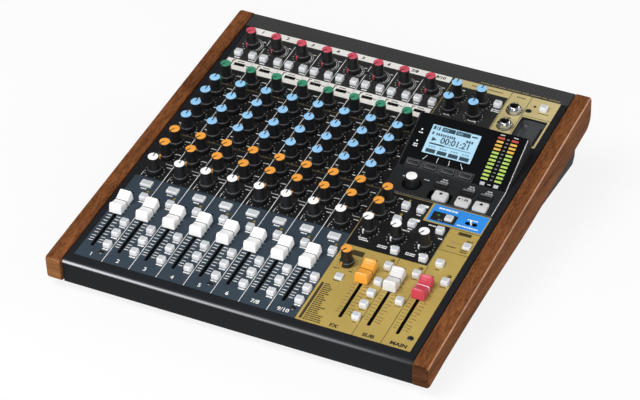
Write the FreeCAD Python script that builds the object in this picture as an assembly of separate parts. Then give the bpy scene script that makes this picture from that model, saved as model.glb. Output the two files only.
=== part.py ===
import FreeCAD, Part
import math
import os

# Small recording mixer with wooden sides, in millimetres.
# World frame: +X right, +Y back, +Z up, z = 0 under the feet, middle of the outline at x = y = 0.
# Deck frame: u to the right from the left edge of the deck, v up the slope from its front edge,
# w square to the deck, outwards. deck_place turns the deck frame into the world frame.

deck_width = 315.0
deck_length = 368.0
deck_tilt = 9.0
deck_front_z = 30.0
deck_front_y = -182.4
sheet = 1.5
sheet_bend = 2.6
front_drop = 23.0
rear_drop = 8.0
side_gap = 1.0
fit_gap = 0.1

wood_thickness = 14.0
wood_overhang = 3.0
wood_top = 1.2
wood_front_depth = 22.0
wood_rear_depth = 31.5
wood_rear_overhang = 1.0
wood_belly = ((212.0, -31.5), (112.0, -24.4), (36.0, -22.0))
wood_corners = (6.0, 3.2, 5.0, 13.0, 90.0, 120.0, 60.0)
wood_edge = 1.8

foot_height = 7.0
foot_radius = 8.5
foot_inset = 24.0
pan_sheet = 1.2
pan_setback = 0.3
pan_rear_gap = 2.0
pan_upstand = 10.0
pan_upstand_lean = 1.5
pan_floor_half = 150.0
pan_reach = 4.0
pan_rail_start = 80.0
pan_rail_corner = (6.0, 10.0)

column_pitch = 25.0
first_column = 19.7
channels = 8
gain_row = 322.5
comp_row = 270.0
eq_row = 248.4
eq_pitch = 18.7
aux_row = 170.4
aux_pitch = 18.8
pan_row = 130.0

knob_sides = 8
knob_lift = 0.5
knob_height = 17.5
knob_foot_radius = 6.1
knob_top_radius = 4.75
pointer_width = 1.0
pointer_height = 0.3
shaft_radius = 3.0
shaft_hole_radius = 3.7
pot_top = -5.0
pot_size = (9.5, 11.0)
board_top = -12.0
board_thickness = 1.6

slot_offset = -4.7
slot_start = 25.5
slot_length = 74.0
slot_width = 3.0
fader_park = 79.0
fader_travel_start = 32.5
fader_travel = 60.0
cap_width = 11.0
cap_length = 22.4
cap_crest = 10.5
cap_waist = 7.2
cap_crest_reach = 9.2
cap_scoop_steps = 3
cap_clearance = 1.0
lever_foot = -9.0
lever_width = 1.2
lever_length = 5.0
track_width = 10.0
track_end = 7.0

key_width = 6.2
key_depth = 5.9
key_height = 4.5
key_low_height = 2.2
key_gap = 0.35
key_travel = 0.8
key_skirt = 3.0
switch_width = 5.0
rec_key = (10.8, 7.2)
input_key_offsets = (-5.9, 8.1)
input_row = 306.8
rec_row = 111.8
rec_offset = 2.3
assign_offset = 7.9
mute_row = 95.2
assign_rows = (60.3, 45.7, 30.5)
led_row = 104.0
led_radius = 1.1

mode_row = 292.2
mode_offset = 1.8
mode_window = (9.2, 2.6)
mode_travel = 4.0
lever_section = (1.6, 2.2)
lever_section_foot = -4.0

housing_left = 207.4
housing_right = 307.6
housing_front = 184.0
housing_kink = 217.0
housing_back = 274.5
housing_lip = 1.1
housing_slope = 19.4
housing_face = 56.0
housing_wall = 2.0
cup_wall = 1.5
housing_window = (211.0, 304.0, 185.4, 268.0)
lens_thickness = 1.2
lens_left = 208.9
lens_right = 306.0
lens_bottom = 0.8
lens_top = 56.3
key_shelf_left = 213.5
key_shelf_right = 275.5
key_shelf_top = 10.0
lcd_window = (223.0, 267.5, 18.0, 47.5)
meter_columns = (284.5, 296.8)
meter_first = 8.5
meter_pitch = 3.8
meter_rows = 12
meter_bar = (6.0, 2.4)
function_key = (11.2, 5.2)
function_keys_u = (220.5, 236.5, 252.5, 268.5)
function_keys_s = 5.5
function_key_span = (-5.0, 1.0)
menu_key = (11.3, 6.2)
menu_keys_uv = ((253.6, 204.7), (278.0, 204.7), (294.1, 204.7))
transport_key = (12.6, 10.8)
transport_keys_uv = ((258.1, 191.6), (278.6, 191.6), (294.6, 191.6))
menu_key_top = 3.4
transport_key_top = 4.2
encoder_uv = (229.3, 198.3)
encoder_well = 8.8
encoder_well_floor = -5.0
encoder_top = 10.5
encoder_radii = (6.9, 6.4, 4.9)
encoder_lift = 0.6
encoder_body_height = 5.0
encoder_body_width = 11.0
bush_radius = 3.9

jack_hole = 4.9
jack_bore = 3.25
jack_bore_length = 6.0
jack_room = 4.2
jack_room_floor = -22.0
jack_top = 6.0
phones_jacks_uv = ((272.8, 324.2), (272.8, 301.6))

recess_u = (283.0, 305.4)
recess_v = (284.0, 318.6)
recess_corner = 4.0
recess_floor = -6.0
scoop_floor = -8.5
scoop_width = 7.0
recess_wall = 1.4

link_window = (294.8, 170.4, 10.4, 3.8)
link_lever_height = 4.2
mode_lever_height = 0.3

rear_y = deck_front_y + deck_length * math.cos(math.radians(deck_tilt))
xlr_z = 59.0
jack_z = 33.5
data_z = 17.0
xlr_flange = (22.6, 26.0)
xlr_body = (19.0, 20.0)
xlr_radius = 9.4
line_radius = 3.3
line_collar = 4.4
din_radius = 6.8
usb_size = (9.0, 3.3)
inlet_size = 8.2
power_key = 8.0
window_gap = 0.2
line_columns = (0, 1, 2, 3, 4, 5, 6, 7, 8, 9, 10, 11)
xlr_input_columns = (0, 1, 2, 3, 4, 5, 6, 7)
xlr_output_columns = (9, 10)
upper_line_columns = (8, 11)


def column(number):
    return first_column + number * column_pitch


def world_x(u):
    return u - deck_width / 2


# every small button on the master side: place on the deck and whether it is a low one
master_keys = (
    (column(9) - 8.5, 170.2, False),
    (column(9) - 8.5, 151.0, False),
    (column(9) + 5.2, 170.2, False),
    (column(9) + 5.2, 151.0, False),
    (column(10) + 5.0, 151.7, False),
    (column(9) + 5.2, 114.8, False),
    (column(10) + 5.4, 114.8, False),
    (257.0, 325.5, False),
    (296.4, 335.0, False),
    (column(11) - 4.5, 114.2, False),
    (column(11) + assign_offset, mute_row, False),
    (column(10) + assign_offset, mute_row, False),
    (column(9) + assign_offset, mute_row, False),
    (column(9) + assign_offset, 74.5, False),
    (column(9) + assign_offset, assign_rows[0], False),
    (column(9) + assign_offset, assign_rows[1], False),
    (column(9) + assign_offset, assign_rows[2], False),
    (column(10) + assign_offset, assign_rows[0], False),
    (302.3, 142.5, True),
    (220.3, 69.0, True),
    (275.3, 169.6, True),
)

led_places = [(column(n) + 7.3, led_row) for n in (0, 1, 2, 3, 4, 5, 6, 7, 9, 10, 11)]
led_places += [(236.6, 178.2), (236.6, 159.4), (290.0, 143.5), (265.5, 170.5), (287.7, 336.0)]

screw_places = (
    (26.5, 21.5),
    (126.5, 21.5),
    (201.5, 21.5),
    (302.0, 25.0),
    (32.4, 324.0),
    (132.4, 324.0),
    (231.4, 331.5),
    (284.5, 328.6),
)

channel_knob_rows = (
    ("gain_knob", gain_row),
    ("comp_knob", comp_row),
    ("eq_high_knob", eq_row),
    ("eq_mid_freq_knob", eq_row - eq_pitch),
    ("eq_mid_knob", eq_row - 2 * eq_pitch),
    ("eq_low_knob", eq_row - 3 * eq_pitch),
    ("aux_1_knob", aux_row),
    ("aux_2_knob", aux_row - aux_pitch),
    ("pan_knob", pan_row),
)

master_knobs = (
    ("main_aux_1_knob", column(8), aux_row),
    ("main_aux_2_knob", column(8), aux_row - aux_pitch),
    ("phones_1_knob", column(8), pan_row),
    ("phones_2_knob", column(9), pan_row),
    ("monitor_knob", column(10), pan_row),
    ("fx_knob", column(8), 86.0),
)

master_eq_places = (
    (column(8), gain_row),
    (column(9) - 1.7, gain_row),
    (column(8), 302.9),
    (column(9) - 1.7, 302.9),
)

faders = (
    ("fader_1", 0),
    ("fader_2", 1),
    ("fader_3", 2),
    ("fader_4", 3),
    ("fader_5", 4),
    ("fader_6", 5),
    ("fader_7_8", 6),
    ("fader_9_10", 7),
    ("fader_fx", 9),
    ("fader_sub", 10),
    ("fader_main", 11),
)


def vector(x, y, z):
    return FreeCAD.Vector(x, y, z)


deck_place = FreeCAD.Placement(
    vector(-deck_width / 2, deck_front_y, deck_front_z),
    FreeCAD.Rotation(vector(1, 0, 0), deck_tilt),
)
face_in_deck = FreeCAD.Placement(
    vector(0, housing_kink, housing_lip),
    FreeCAD.Rotation(vector(1, 0, 0), housing_slope),
)
face_place = deck_place.multiply(face_in_deck)
upright = FreeCAD.Placement()


def placed(shape, place):
    return shape.transformed(place.toMatrix(), True)


def save(name, shapes, place=deck_place):
    """Writes one sub-part, a single solid or a group of separate ones, in the world frame."""
    shape = shapes if isinstance(shapes, Part.Shape) else Part.makeCompound(shapes)
    placed(shape, place).exportStep(os.path.join("parts", name + ".step"))


def block(u0, u1, v0, v1, w0, w1):
    return Part.makeBox(u1 - u0, v1 - v0, w1 - w0, vector(u0, v0, w0))


def block_about(u, v, width, depth, w0, w1):
    return block(u - width / 2, u + width / 2, v - depth / 2, v + depth / 2, w0, w1)


def window_about(u, v, width, depth):
    """A cutter that goes right through the deck sheet."""
    return block_about(u, v, width, depth, -2 * sheet, sheet)


def flat_face(points):
    return Part.Face(Part.makePolygon(points + points[:1]))


def stacked(rings):
    """A solid of flat faces through rings of points, listed anticlockwise from the lowest ring up."""
    faces = [flat_face(rings[0][::-1]), flat_face(rings[-1])]
    for lower, upper in zip(rings, rings[1:]):
        for i in range(len(lower)):
            faces.append(flat_face([lower[i - 1], lower[i], upper[i], upper[i - 1]]))
    return Part.makeSolid(Part.makeShell(faces))


def faceted(u, v, rings, sides):
    """A many-sided turned shape through rings, each given as (height, radius to the flats)."""
    stack = []
    for w, radius in rings:
        corner = radius / math.cos(math.pi / sides)
        turns = [2 * math.pi * (i + 0.5) / sides for i in range(sides)]
        stack.append([vector(u + corner * math.cos(t), v + corner * math.sin(t), w) for t in turns])
    return stacked(stack)


def pillow(u, v, width, depth, w0, w1, inset):
    """A key cap: a rectangle drawn in by inset at its top."""
    stack = []
    for w, trim in ((w0, 0.0), (w1, inset)):
        a = width / 2 - trim
        b = depth / 2 - trim
        stack.append([vector(u + x, v + y, w) for x, y in ((-a, -b), (a, -b), (a, b), (-a, b))])
    return stacked(stack)


def path_edges(points, radii):
    """Straight runs through (v, w) points with a tangent arc at each inner point, in the plane u = 0."""
    ends = [vector(0, *points[0])]
    arcs = []
    for before, here, after, radius in zip(points, points[1:], points[2:], radii):
        corner = vector(0, *here)
        back = (vector(0, *before) - corner).normalize()
        ahead = (vector(0, *after) - corner).normalize()
        half = back.getAngle(ahead) / 2
        reach = radius / math.tan(half)
        middle = (back + ahead).normalize() * (radius / math.sin(half) - radius)
        start = corner + back * reach
        stop = corner + ahead * reach
        arcs.append(Part.Arc(start, corner + middle, stop).toShape())
        ends += [start, stop]
    ends.append(vector(0, *points[-1]))
    edges = [Part.makeLine(ends[0], ends[1])]
    for i, arc in enumerate(arcs):
        edges += [arc, Part.makeLine(ends[2 * i + 2], ends[2 * i + 3])]
    return edges


def closed_profile(points, radii, u0, u1):
    """A closed (v, w) outline with a radius at every point, drawn out from u0 to u1."""
    last = points[-1]
    first = points[0]
    start = ((last[0] + first[0]) / 2, (last[1] + first[1]) / 2)
    edges = path_edges([start] + list(points) + [start], radii)
    solid = Part.Face(Part.Wire(Part.__sortEdges__(edges))).extrude(vector(u1 - u0, 0, 0))
    return solid.translated(vector(u0, 0, 0))


def flat_profile(points, u0, u1):
    """A closed (v, w) outline with sharp corners, drawn out from u0 to u1."""
    return flat_face([vector(u0, v, w) for v, w in points]).extrude(vector(u1 - u0, 0, 0))


def deck_point(v, w):
    """World (y, z) of a point of the deck frame."""
    tilt = math.radians(deck_tilt)
    y = deck_front_y + v * math.cos(tilt) - w * math.sin(tilt)
    z = deck_front_z + v * math.sin(tilt) + w * math.cos(tilt)
    return y, z


def bent_sheet(points, thickness, radius, u0, u1):
    """Sheet metal that follows outer corner points (v, w), its material on the right of the path."""
    inner = []
    for i, here in enumerate(points):
        offsets = []
        for a, b in zip(points[max(i - 1, 0) : i + 1], points[max(i, 1) : i + 2]):
            run = vector(b[0] - a[0], b[1] - a[1], 0).normalize()
            offsets.append(vector(run.y, -run.x, 0))
        total = offsets[0] + offsets[-1]
        total = total * (2 * thickness / total.dot(total)) if len(offsets) > 1 else total * (thickness / 2)
        inner.append((here[0] + total.x, here[1] + total.y))
    outside = path_edges(points, [radius] * (len(points) - 2))
    inside = path_edges(inner[::-1], [radius - thickness] * (len(points) - 2))
    ends = [
        Part.makeLine(vector(0, *points[-1]), vector(0, *inner[-1])),
        Part.makeLine(vector(0, *inner[0]), vector(0, *points[0])),
    ]
    wire = Part.Wire(Part.__sortEdges__(outside + inside + ends))
    return Part.Face(wire).extrude(vector(u1 - u0, 0, 0)).translated(vector(u0, 0, 0))


def key_hole(u, v, width, depth):
    return window_about(u, v, width + 2 * key_gap, depth + 2 * key_gap)


def channel_key_places():
    """Places and sizes of every channel button, by the name of its row."""
    rows = {"input_buttons": [], "rec_buttons": [], "mute_buttons": [], "assign_buttons": []}
    for n in range(channels):
        for offset in input_key_offsets:
            rows["input_buttons"].append((column(n) + offset, input_row, key_width, key_depth, key_height))
        rows["rec_buttons"].append((column(n) + rec_offset, rec_row, *rec_key, key_low_height))
        rows["mute_buttons"].append((column(n) + assign_offset, mute_row, key_width, key_depth, key_height))
        for row in assign_rows:
            rows["assign_buttons"].append((column(n) + assign_offset, row, key_width, key_depth, key_height))
    return rows


def master_key_places():
    keys = []
    for u, v, low in master_keys:
        keys.append((u, v, key_width, key_depth, key_low_height if low else key_height))
    return keys


def moving_knob_places():
    """Knobs that turn on their own: the whole first strip and the master ones."""
    places = [("ch1_" + name, column(0), row) for name, row in channel_knob_rows]
    return places + list(master_knobs)


def fixed_knob_places():
    places = [(column(n), row) for n in range(1, channels) for _, row in channel_knob_rows]
    return places + list(master_eq_places)


def fader_slot(number):
    return window_about(column(number) + slot_offset, slot_start + slot_length / 2, slot_width, slot_length)


def make_deck_panel():
    """The folded top sheet: front lip, sloping deck and upright rear lip, with all its cut-outs."""
    tilt = math.radians(deck_tilt)
    rear_end = (deck_length - rear_drop * math.sin(tilt), -rear_drop * math.cos(tilt))
    path = [(0, -front_drop), (0, 0), (deck_length, 0), rear_end]
    panel = bent_sheet(path, sheet, sheet_bend, side_gap, deck_width - side_gap)
    cuts = [fader_slot(number) for _, number in faders]
    for places in channel_key_places().values():
        cuts += [key_hole(u, v, width, depth) for u, v, width, depth, _ in places]
    cuts += [key_hole(u, v, width, depth) for u, v, width, depth, _ in master_key_places()]
    for _, u, v in moving_knob_places():
        cuts.append(faceted(u, v, [(-2 * sheet, shaft_hole_radius), (sheet, shaft_hole_radius)], 6))
    for n in range(channels):
        cuts.append(window_about(column(n) + mode_offset, mode_row, *mode_window))
    cuts.append(window_about(*link_window))
    cuts.append(block(*housing_window, -2 * sheet, sheet))
    cuts += [faceted(u, v, [(-2 * sheet, jack_hole), (sheet, jack_hole)], 8) for u, v in phones_jacks_uv]
    cuts.append(clipped_block(*recess_u, *recess_v, recess_corner, -2 * sheet, sheet))
    return panel.cut(Part.makeCompound(cuts))


def clipped_block(u0, u1, v0, v1, corner, w0, w1):
    """An upright block whose four corners are cut off."""
    solid = block(u0, u1, v0, v1, w0, w1)
    upright_edges = [e for e in solid.Edges if abs(e.tangentAt(e.FirstParameter).z) > 0.9]
    return solid.makeChamfer(corner, upright_edges)


def cross_profile(points, y0, y1):
    """A closed (x, z) outline with sharp corners, drawn out from y0 to y1 in the world frame."""
    return flat_face([vector(x, y0, z) for x, z in points]).extrude(vector(0, y1 - y0, 0))


def with_mirror_image(shape):
    return [shape, shape.mirror(vector(0, 0, 0), vector(1, 0, 0))]


def below_flanks(rise):
    """Cutters for what lies under the pan's sloped flanks, with the slope raised by rise."""
    low = foot_height - 1
    near = pan_floor_half - 1 - rise
    far = deck_width / 2 + pan_reach + 1
    cutter = cross_profile([(near, low), (far, low), (far, low + far - near)], -deck_length, deck_length)
    return with_mirror_image(cutter)


def make_pan_rail(wall_foot, back_y):
    """The lower edge of the pan stands out under the wooden side, which rests on it."""
    half = deck_width / 2
    corner_y, corner_z = pan_rail_corner
    front_y, front_z = deck_point(pan_rail_start, -wood_front_depth / 2)
    _, back_z = deck_point(deck_length, -wood_front_depth / 2)
    outline = [
        (front_y, wall_foot),
        (back_y - corner_y, wall_foot),
        (back_y, wall_foot + corner_z),
        (back_y, back_z),
        (front_y, front_z),
    ]
    wood = placed(make_wood_side(deck_width), deck_place).translated(vector(0, 0, -fit_gap))
    return flat_profile(outline, half, half + pan_reach).cut(wood)


def make_chassis_pan():
    """Floor, sloped flanks, side walls and a front upstand folded from one sheet, in the world frame."""
    floor_z = foot_height
    half = deck_width / 2
    wall_foot = floor_z + half - pan_floor_half
    front_y, _ = deck_point(sheet + pan_setback, -front_drop)
    top_front = deck_point(sheet + pan_setback, -sheet - fit_gap)
    top_rear = deck_point(deck_length - sheet - pan_rear_gap, -sheet - fit_gap)
    back_y = rear_y - sheet - 2 * fit_gap
    _, lip_foot_z = deck_point(deck_length, -rear_drop - sheet - side_gap)
    side = [
        (front_y, wall_foot),
        (back_y, wall_foot),
        (back_y, lip_foot_z),
        (top_rear[0], lip_foot_z),
        top_rear,
        top_front,
    ]
    slope_depth = pan_sheet * math.sqrt(2)
    flank = [
        (pan_floor_half - slope_depth, floor_z),
        (pan_floor_half, floor_z),
        (half, wall_foot),
        (half, wall_foot + slope_depth),
    ]
    pieces = with_mirror_image(flat_profile(side, half - pan_sheet, half))
    pieces += with_mirror_image(cross_profile(flank, front_y, back_y))
    pieces += with_mirror_image(make_pan_rail(wall_foot, back_y))
    floor = block(-half, half, front_y, back_y, floor_z, floor_z + pan_sheet)
    lean_y = front_y - pan_upstand_lean
    lip = [
        (front_y, floor_z),
        (front_y + pan_sheet, floor_z),
        (lean_y + pan_sheet, floor_z + pan_upstand),
        (lean_y, floor_z + pan_upstand),
    ]
    upstand = flat_profile(lip, -half, half)
    return floor.fuse(pieces + [upstand]).cut(Part.makeCompound(below_flanks(0.0))).removeSplitter()


def make_rear_panel():
    """The upright back plate with a window for each socket, in the world frame."""
    half = deck_width / 2 - side_gap
    top_z = deck_point(deck_length, 0)[1] - rear_drop - pan_setback
    plate = block(-half, half, rear_y - sheet, rear_y, foot_height + pan_sheet + fit_gap, top_z)
    cuts = [back_window(world_x(column(n)), xlr_z, *xlr_body) for n in xlr_input_columns + xlr_output_columns]
    cuts += [back_prism(x, z, line_collar + window_gap, 6) for x, z in line_jack_places()]
    cuts += [back_prism(x, data_z, din_radius + window_gap, 8) for x in din_places()]
    cuts.append(back_window(usb_x(), data_z, *usb_size))
    cuts.append(back_window(power_inlet_x(), data_z, inlet_size, inlet_size))
    cuts.append(back_window(power_switch_x(), data_z, power_key, power_key))
    cuts += below_flanks(pan_sheet * math.sqrt(2) + fit_gap)
    return plate.cut(Part.makeCompound(cuts))


def line_jack_places():
    places = [(world_x(column(n)), jack_z) for n in line_columns]
    return places + [(world_x(column(n)), xlr_z) for n in upper_line_columns]


def din_places():
    return world_x(column(8)), world_x(column(9)) - 3


def usb_x():
    return world_x(column(9)) + 15


def power_inlet_x():
    return world_x(column(10)) + 11


def power_switch_x():
    return world_x(column(11)) + 2


def back_place(x, z):
    """Puts a shape drawn upwards from z = 0 so that it points out of the rear panel."""
    return FreeCAD.Placement(vector(x, rear_y, z), FreeCAD.Rotation(vector(1, 0, 0), -90))


def back_prism(x, z, radius, sides):
    """A many-sided cutter through the rear panel."""
    shape = faceted(0, 0, [(-2 * sheet, radius), (sheet, radius)], sides)
    return placed(shape, back_place(x, z))


def back_window(x, z, width, height):
    """A cutter through the rear panel, a little larger than what stands in it."""
    shape = window_about(0, 0, width + 2 * window_gap, height + 2 * window_gap)
    return placed(shape, back_place(x, z))


def make_wood_side(u0):
    """One solid wooden cheek: shallow at the front, deeper from the middle back, outer edges rounded."""
    outline = [
        (-wood_overhang, -wood_front_depth),
        (-wood_overhang, wood_top),
        (deck_length + wood_rear_overhang, wood_top),
        (deck_length + wood_rear_overhang, -wood_rear_depth),
        *wood_belly,
    ]
    cheek = closed_profile(outline, wood_corners, u0, u0 + wood_thickness)
    outer_u = u0 if u0 < 0 else u0 + wood_thickness
    rim = [e for e in cheek.Edges if abs(e.BoundBox.XMin - outer_u) + abs(e.BoundBox.XMax - outer_u) < 0.01]
    return cheek.makeChamfer(wood_edge, rim)


def make_knob(u, v, lift):
    return faceted(u, v, [(lift, knob_foot_radius), (knob_height, knob_top_radius)], knob_sides)


def make_turning_knob(u, v):
    """A knob with a raised pointer on top and its shaft, which ends just above the potentiometer."""
    knob = make_knob(u, v, knob_lift)
    half = pointer_width / 2
    reach = knob_top_radius - half
    pointer = block(u - half, u + half, v, v + reach, knob_height, knob_height + pointer_height)
    shaft = faceted(u, v, [(pot_top + fit_gap, shaft_radius), (knob_lift, shaft_radius)], 6)
    return knob.fuse([pointer, shaft]).removeSplitter()


def make_encoder():
    u, v = encoder_uv
    foot = encoder_well_floor + encoder_lift
    heights = (foot, (foot + encoder_top) / 3, encoder_top)
    knob = faceted(u, v, list(zip(heights, encoder_radii)), 10)
    shaft_foot = board_top + encoder_body_height + fit_gap
    shaft = faceted(u, v, [(shaft_foot, shaft_radius), (foot, shaft_radius)], 6)
    return knob.fuse(shaft).removeSplitter()


def make_fader_cap(number):
    """A cap with a scooped top between two crests, on the flat lever that runs in the slot."""
    u = column(number) + slot_offset
    v = fader_park
    half = cap_length / 2
    outline = [(v - half, cap_clearance), (v + half, cap_clearance)]
    for step in range(cap_scoop_steps, -cap_scoop_steps - 1, -1):
        part = step / cap_scoop_steps
        outline.append((v + part * cap_crest_reach, cap_waist + (cap_crest - cap_waist) * part * part))
    cap = flat_profile(outline, u - cap_width / 2, u + cap_width / 2)
    lever = block_about(u, v, lever_width, lever_length, lever_foot, cap_clearance + 1)
    return cap.fuse(lever).removeSplitter()


def make_keys(places, inset=0.8):
    return [pillow(u, v, width, depth, -key_skirt, top, inset) for u, v, width, depth, top in places]


def make_housing():
    """The moulded display housing: flat keypad shelf in front, sloping face and hollow wedge behind."""
    slope = math.radians(housing_slope)
    crest_v = housing_kink + housing_face * math.cos(slope)
    crest_w = housing_lip + housing_face * math.sin(slope)
    outline = [
        (housing_front, 0.0),
        (housing_front, housing_lip),
        (housing_kink, housing_lip),
        (crest_v, crest_w),
        (crest_v + 2.0, crest_w - 1.2),
        (housing_back, 0.0),
    ]
    body = flat_profile(outline, housing_left, housing_right)
    hollow = [
        (housing_kink + 10, 0.0),
        (housing_kink + 10, 2.2),
        (crest_v - 1.5, crest_w - 3.4),
        (housing_back - 3.0, 0.0),
    ]
    cuts = [flat_profile(hollow, housing_left + housing_wall, housing_right - housing_wall)]
    cuts += [placed(shape, face_in_deck) for shape in housing_face_cuts()]
    for u, v, width, depth, _ in menu_key_places() + transport_key_places():
        cuts.append(key_hole(u, v, width, depth))
    u, v = encoder_uv
    cup_floor = encoder_well_floor - cup_wall
    cup = faceted(u, v, [(cup_floor, encoder_well + cup_wall), (0.0, encoder_well + cup_wall)], 16)
    cuts.append(faceted(u, v, [(encoder_well_floor, encoder_well), (2 * housing_lip, encoder_well)], 16))
    cuts.append(faceted(u, v, [(cup_floor - sheet, bush_radius), (0.0, bush_radius)], 6))
    return body.fuse(cup).cut(Part.makeCompound(cuts)).removeSplitter()


def lens_blank(h0, h1):
    """The angular window that wraps round the function keys, on the sloping face."""
    full = block(lens_left, lens_right, lens_bottom, lens_top, h0, h1)
    shelf = block(key_shelf_left, key_shelf_right, 0.0, key_shelf_top, h0 - 1, h1 + 1)
    return full.cut(shelf)


def housing_face_cuts():
    """Cutters for the sloping face: lens seat, display, light bars and function keys."""
    rim = 0.5
    depth = -8.0
    u0, u1, s0, s1 = lcd_window
    cuts = [lens_blank(-lens_thickness, lens_thickness)]
    cuts.append(block(u0 - rim, u1 + rim, s0 - rim, s1 + rim, depth, 1))
    left = meter_columns[0] - meter_bar[0] / 2 - rim
    right = meter_columns[1] + meter_bar[0] / 2 + rim
    top = meter_first + meter_pitch * (meter_rows - 1) + meter_bar[1]
    cuts.append(block(left, right, meter_first - meter_bar[1], top, depth, 1))
    key_u, key_s = function_key
    for u in function_keys_u:
        cuts.append(block_about(u, function_keys_s, key_u + 2 * key_gap, key_s + 2 * key_gap, depth - 1, 1))
    return cuts


def menu_key_places():
    return [(u, v, *menu_key, menu_key_top) for u, v in menu_keys_uv]


def transport_key_places():
    return [(u, v, *transport_key, transport_key_top) for u, v in transport_keys_uv]


def make_function_keys():
    inset = 0.25
    return [pillow(u, function_keys_s, *function_key, *function_key_span, inset) for u in function_keys_u]


def make_meter_leds():
    """The two ladders of light bars, just under the lens."""
    under = -lens_thickness - fit_gap / 2
    bars = []
    for u in meter_columns:
        for row in range(meter_rows):
            s = meter_first + row * meter_pitch
            bars.append(block_about(u, s, *meter_bar, under - 1.5, under))
    return bars


def make_phones_jack(u, v):
    """A headphone jack: washer, six-sided nut, collar, a round bore and the room for the plug behind it."""
    washer_top = 1.2
    nut_top = 4.2
    body_width = 13.0
    collar_radius = jack_hole - window_gap
    bore_foot = jack_top - jack_bore_length
    washer = faceted(u, v, [(0.0, 7.5), (washer_top, 6.9)], 10)
    nut = faceted(u, v, [(washer_top, 6.2), (nut_top, 6.2)], 6)
    collar = faceted(u, v, [(-sheet, collar_radius), (jack_top, collar_radius)], 8)
    body = block_about(u, v, body_width, body_width, jack_room_floor - 2.0, -sheet - fit_gap)
    bore = Part.makeCylinder(jack_bore, jack_bore_length + 1.0, vector(u, v, bore_foot))
    room = faceted(u, v, [(jack_room_floor, jack_room), (bore_foot, jack_room)], 6)
    return washer.fuse([nut, collar, body]).cut(Part.makeCompound([bore, room])).removeSplitter()


def make_xlr(x, male):
    """A panel socket: flange, round mouth, and either a boss for holes or three pins."""
    flange_top = 2.0
    mouth_floor = -13.0 if male else -1.0
    flange = block_about(0, 0, *xlr_flange, 0.0, flange_top)
    body = block_about(0, 0, *xlr_body, -18.0, 0.0)
    mouth = faceted(0, 0, [(mouth_floor, xlr_radius), (flange_top + 1.0, xlr_radius)], 8)
    socket = flange.fuse(body).cut(mouth)
    if male:
        pin_circle = 5.0
        for turn in (90, 210, 330):
            angle = math.radians(turn)
            pin_u = pin_circle * math.cos(angle)
            pin_v = pin_circle * math.sin(angle)
            socket = socket.fuse(faceted(pin_u, pin_v, [(mouth_floor, 1.2), (-1.5, 1.2)], 4))
    else:
        socket = socket.fuse(faceted(0, 0, [(mouth_floor, 7.7), (1.6, 7.7)], 8))
    return placed(socket.removeSplitter(), back_place(x, xlr_z))


def make_line_jack(x, z):
    """A rear quarter-inch jack: six-sided nut, collar through the panel and body with its bore."""
    nut_height = 2.6
    body_width = 11.0
    bore_floor = -18.0
    nut = faceted(0, 0, [(0.0, 6.2), (nut_height, 5.8)], 6)
    collar = faceted(0, 0, [(-sheet - fit_gap, line_collar), (0.0, line_collar)], 6)
    body = block_about(0, 0, body_width, body_width, bore_floor - 2.0, -sheet - fit_gap)
    bore = faceted(0, 0, [(bore_floor, line_radius), (nut_height + 1.0, line_radius)], 6)
    return placed(nut.fuse([collar, body]).cut(bore).removeSplitter(), back_place(x, z))


def make_data_sockets():
    """Two round five-pin sockets, a small flat data socket and the low-voltage inlet."""
    sockets = []
    rim = faceted(0, 0, [(-10.0, din_radius), (1.0, din_radius)], 8)
    din = rim.cut(faceted(0, 0, [(0.2, 5.9), (2.0, 5.9)], 8))
    for x in din_places():
        sockets.append(placed(din, back_place(x, data_z)))
    metal = 0.35
    usb_floor = -5.5
    width, depth = usb_size
    shell = block_about(0, 0, width, depth, -7.0, 0.3)
    room = block_about(0, 0, width - 2 * metal, depth - 2 * metal, usb_floor, 1.0)
    tongue = block_about(0, 0, 6.6, 0.7, usb_floor, -0.5)
    sockets.append(placed(shell.cut(room).fuse(tongue), back_place(usb_x(), data_z)))
    inlet_floor = -9.0
    inlet = block_about(0, 0, inlet_size, inlet_size, -11.0, 0.5)
    mouth = faceted(0, 0, [(inlet_floor, 2.9), (1.0, 2.9)], 8)
    pin = faceted(0, 0, [(inlet_floor, 1.0), (-1.0, 1.0)], 6)
    sockets.append(placed(inlet.cut(mouth).fuse(pin), back_place(power_inlet_x(), data_z)))
    return sockets


def make_card_recess():
    """A shallow tray beside the display, with a finger scoop and a thin slot for a card."""
    wall = recess_wall
    u0, u1 = recess_u
    v0, v1 = recess_v
    tray = block(u0 - wall, u1 + wall, v0 - wall, v1 + wall, scoop_floor - wall, -sheet)
    room = clipped_block(u0, u1, v0, v1, recess_corner, recess_floor, 0.0)
    above = recess_floor + 0.5
    scoop = block(u0 + 0.8, u0 + scoop_width, v0 + recess_corner, v1 - recess_corner, scoop_floor, above)
    slot_width_u = 2.4
    slot_right = u1 - 1.0
    slot = block(slot_right - slot_width_u, slot_right, v0 + 5.0, v0 + 30.0, scoop_floor + 0.1, above)
    return tray.cut(Part.makeCompound([room, scoop, slot]))


def make_circuit_boards():
    """The channel board, the master board and the small board behind the display."""
    under = board_top - board_thickness
    channel = block(8.0, 205.0, 14.0, 345.0, under, board_top)
    master = block(209.0, 306.0, 14.0, 262.0, under, board_top)
    display_top = -8.1
    display = block(212.0, 303.0, 14.0, 52.0, display_top - board_thickness, display_top)
    return [channel, master, placed(display, face_in_deck)]


def make_knob_pots():
    """One potentiometer body for each knob; the turning ones stop short of their shafts."""
    pots = [block_about(u, v - 1, *pot_size, board_top, pot_top) for _, u, v in moving_knob_places()]
    pots += [block_about(u, v - 1, *pot_size, board_top, -sheet) for u, v in fixed_knob_places()]
    width = encoder_body_width
    pots.append(block_about(*encoder_uv, width, width, board_top, board_top + encoder_body_height))
    return pots


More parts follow.
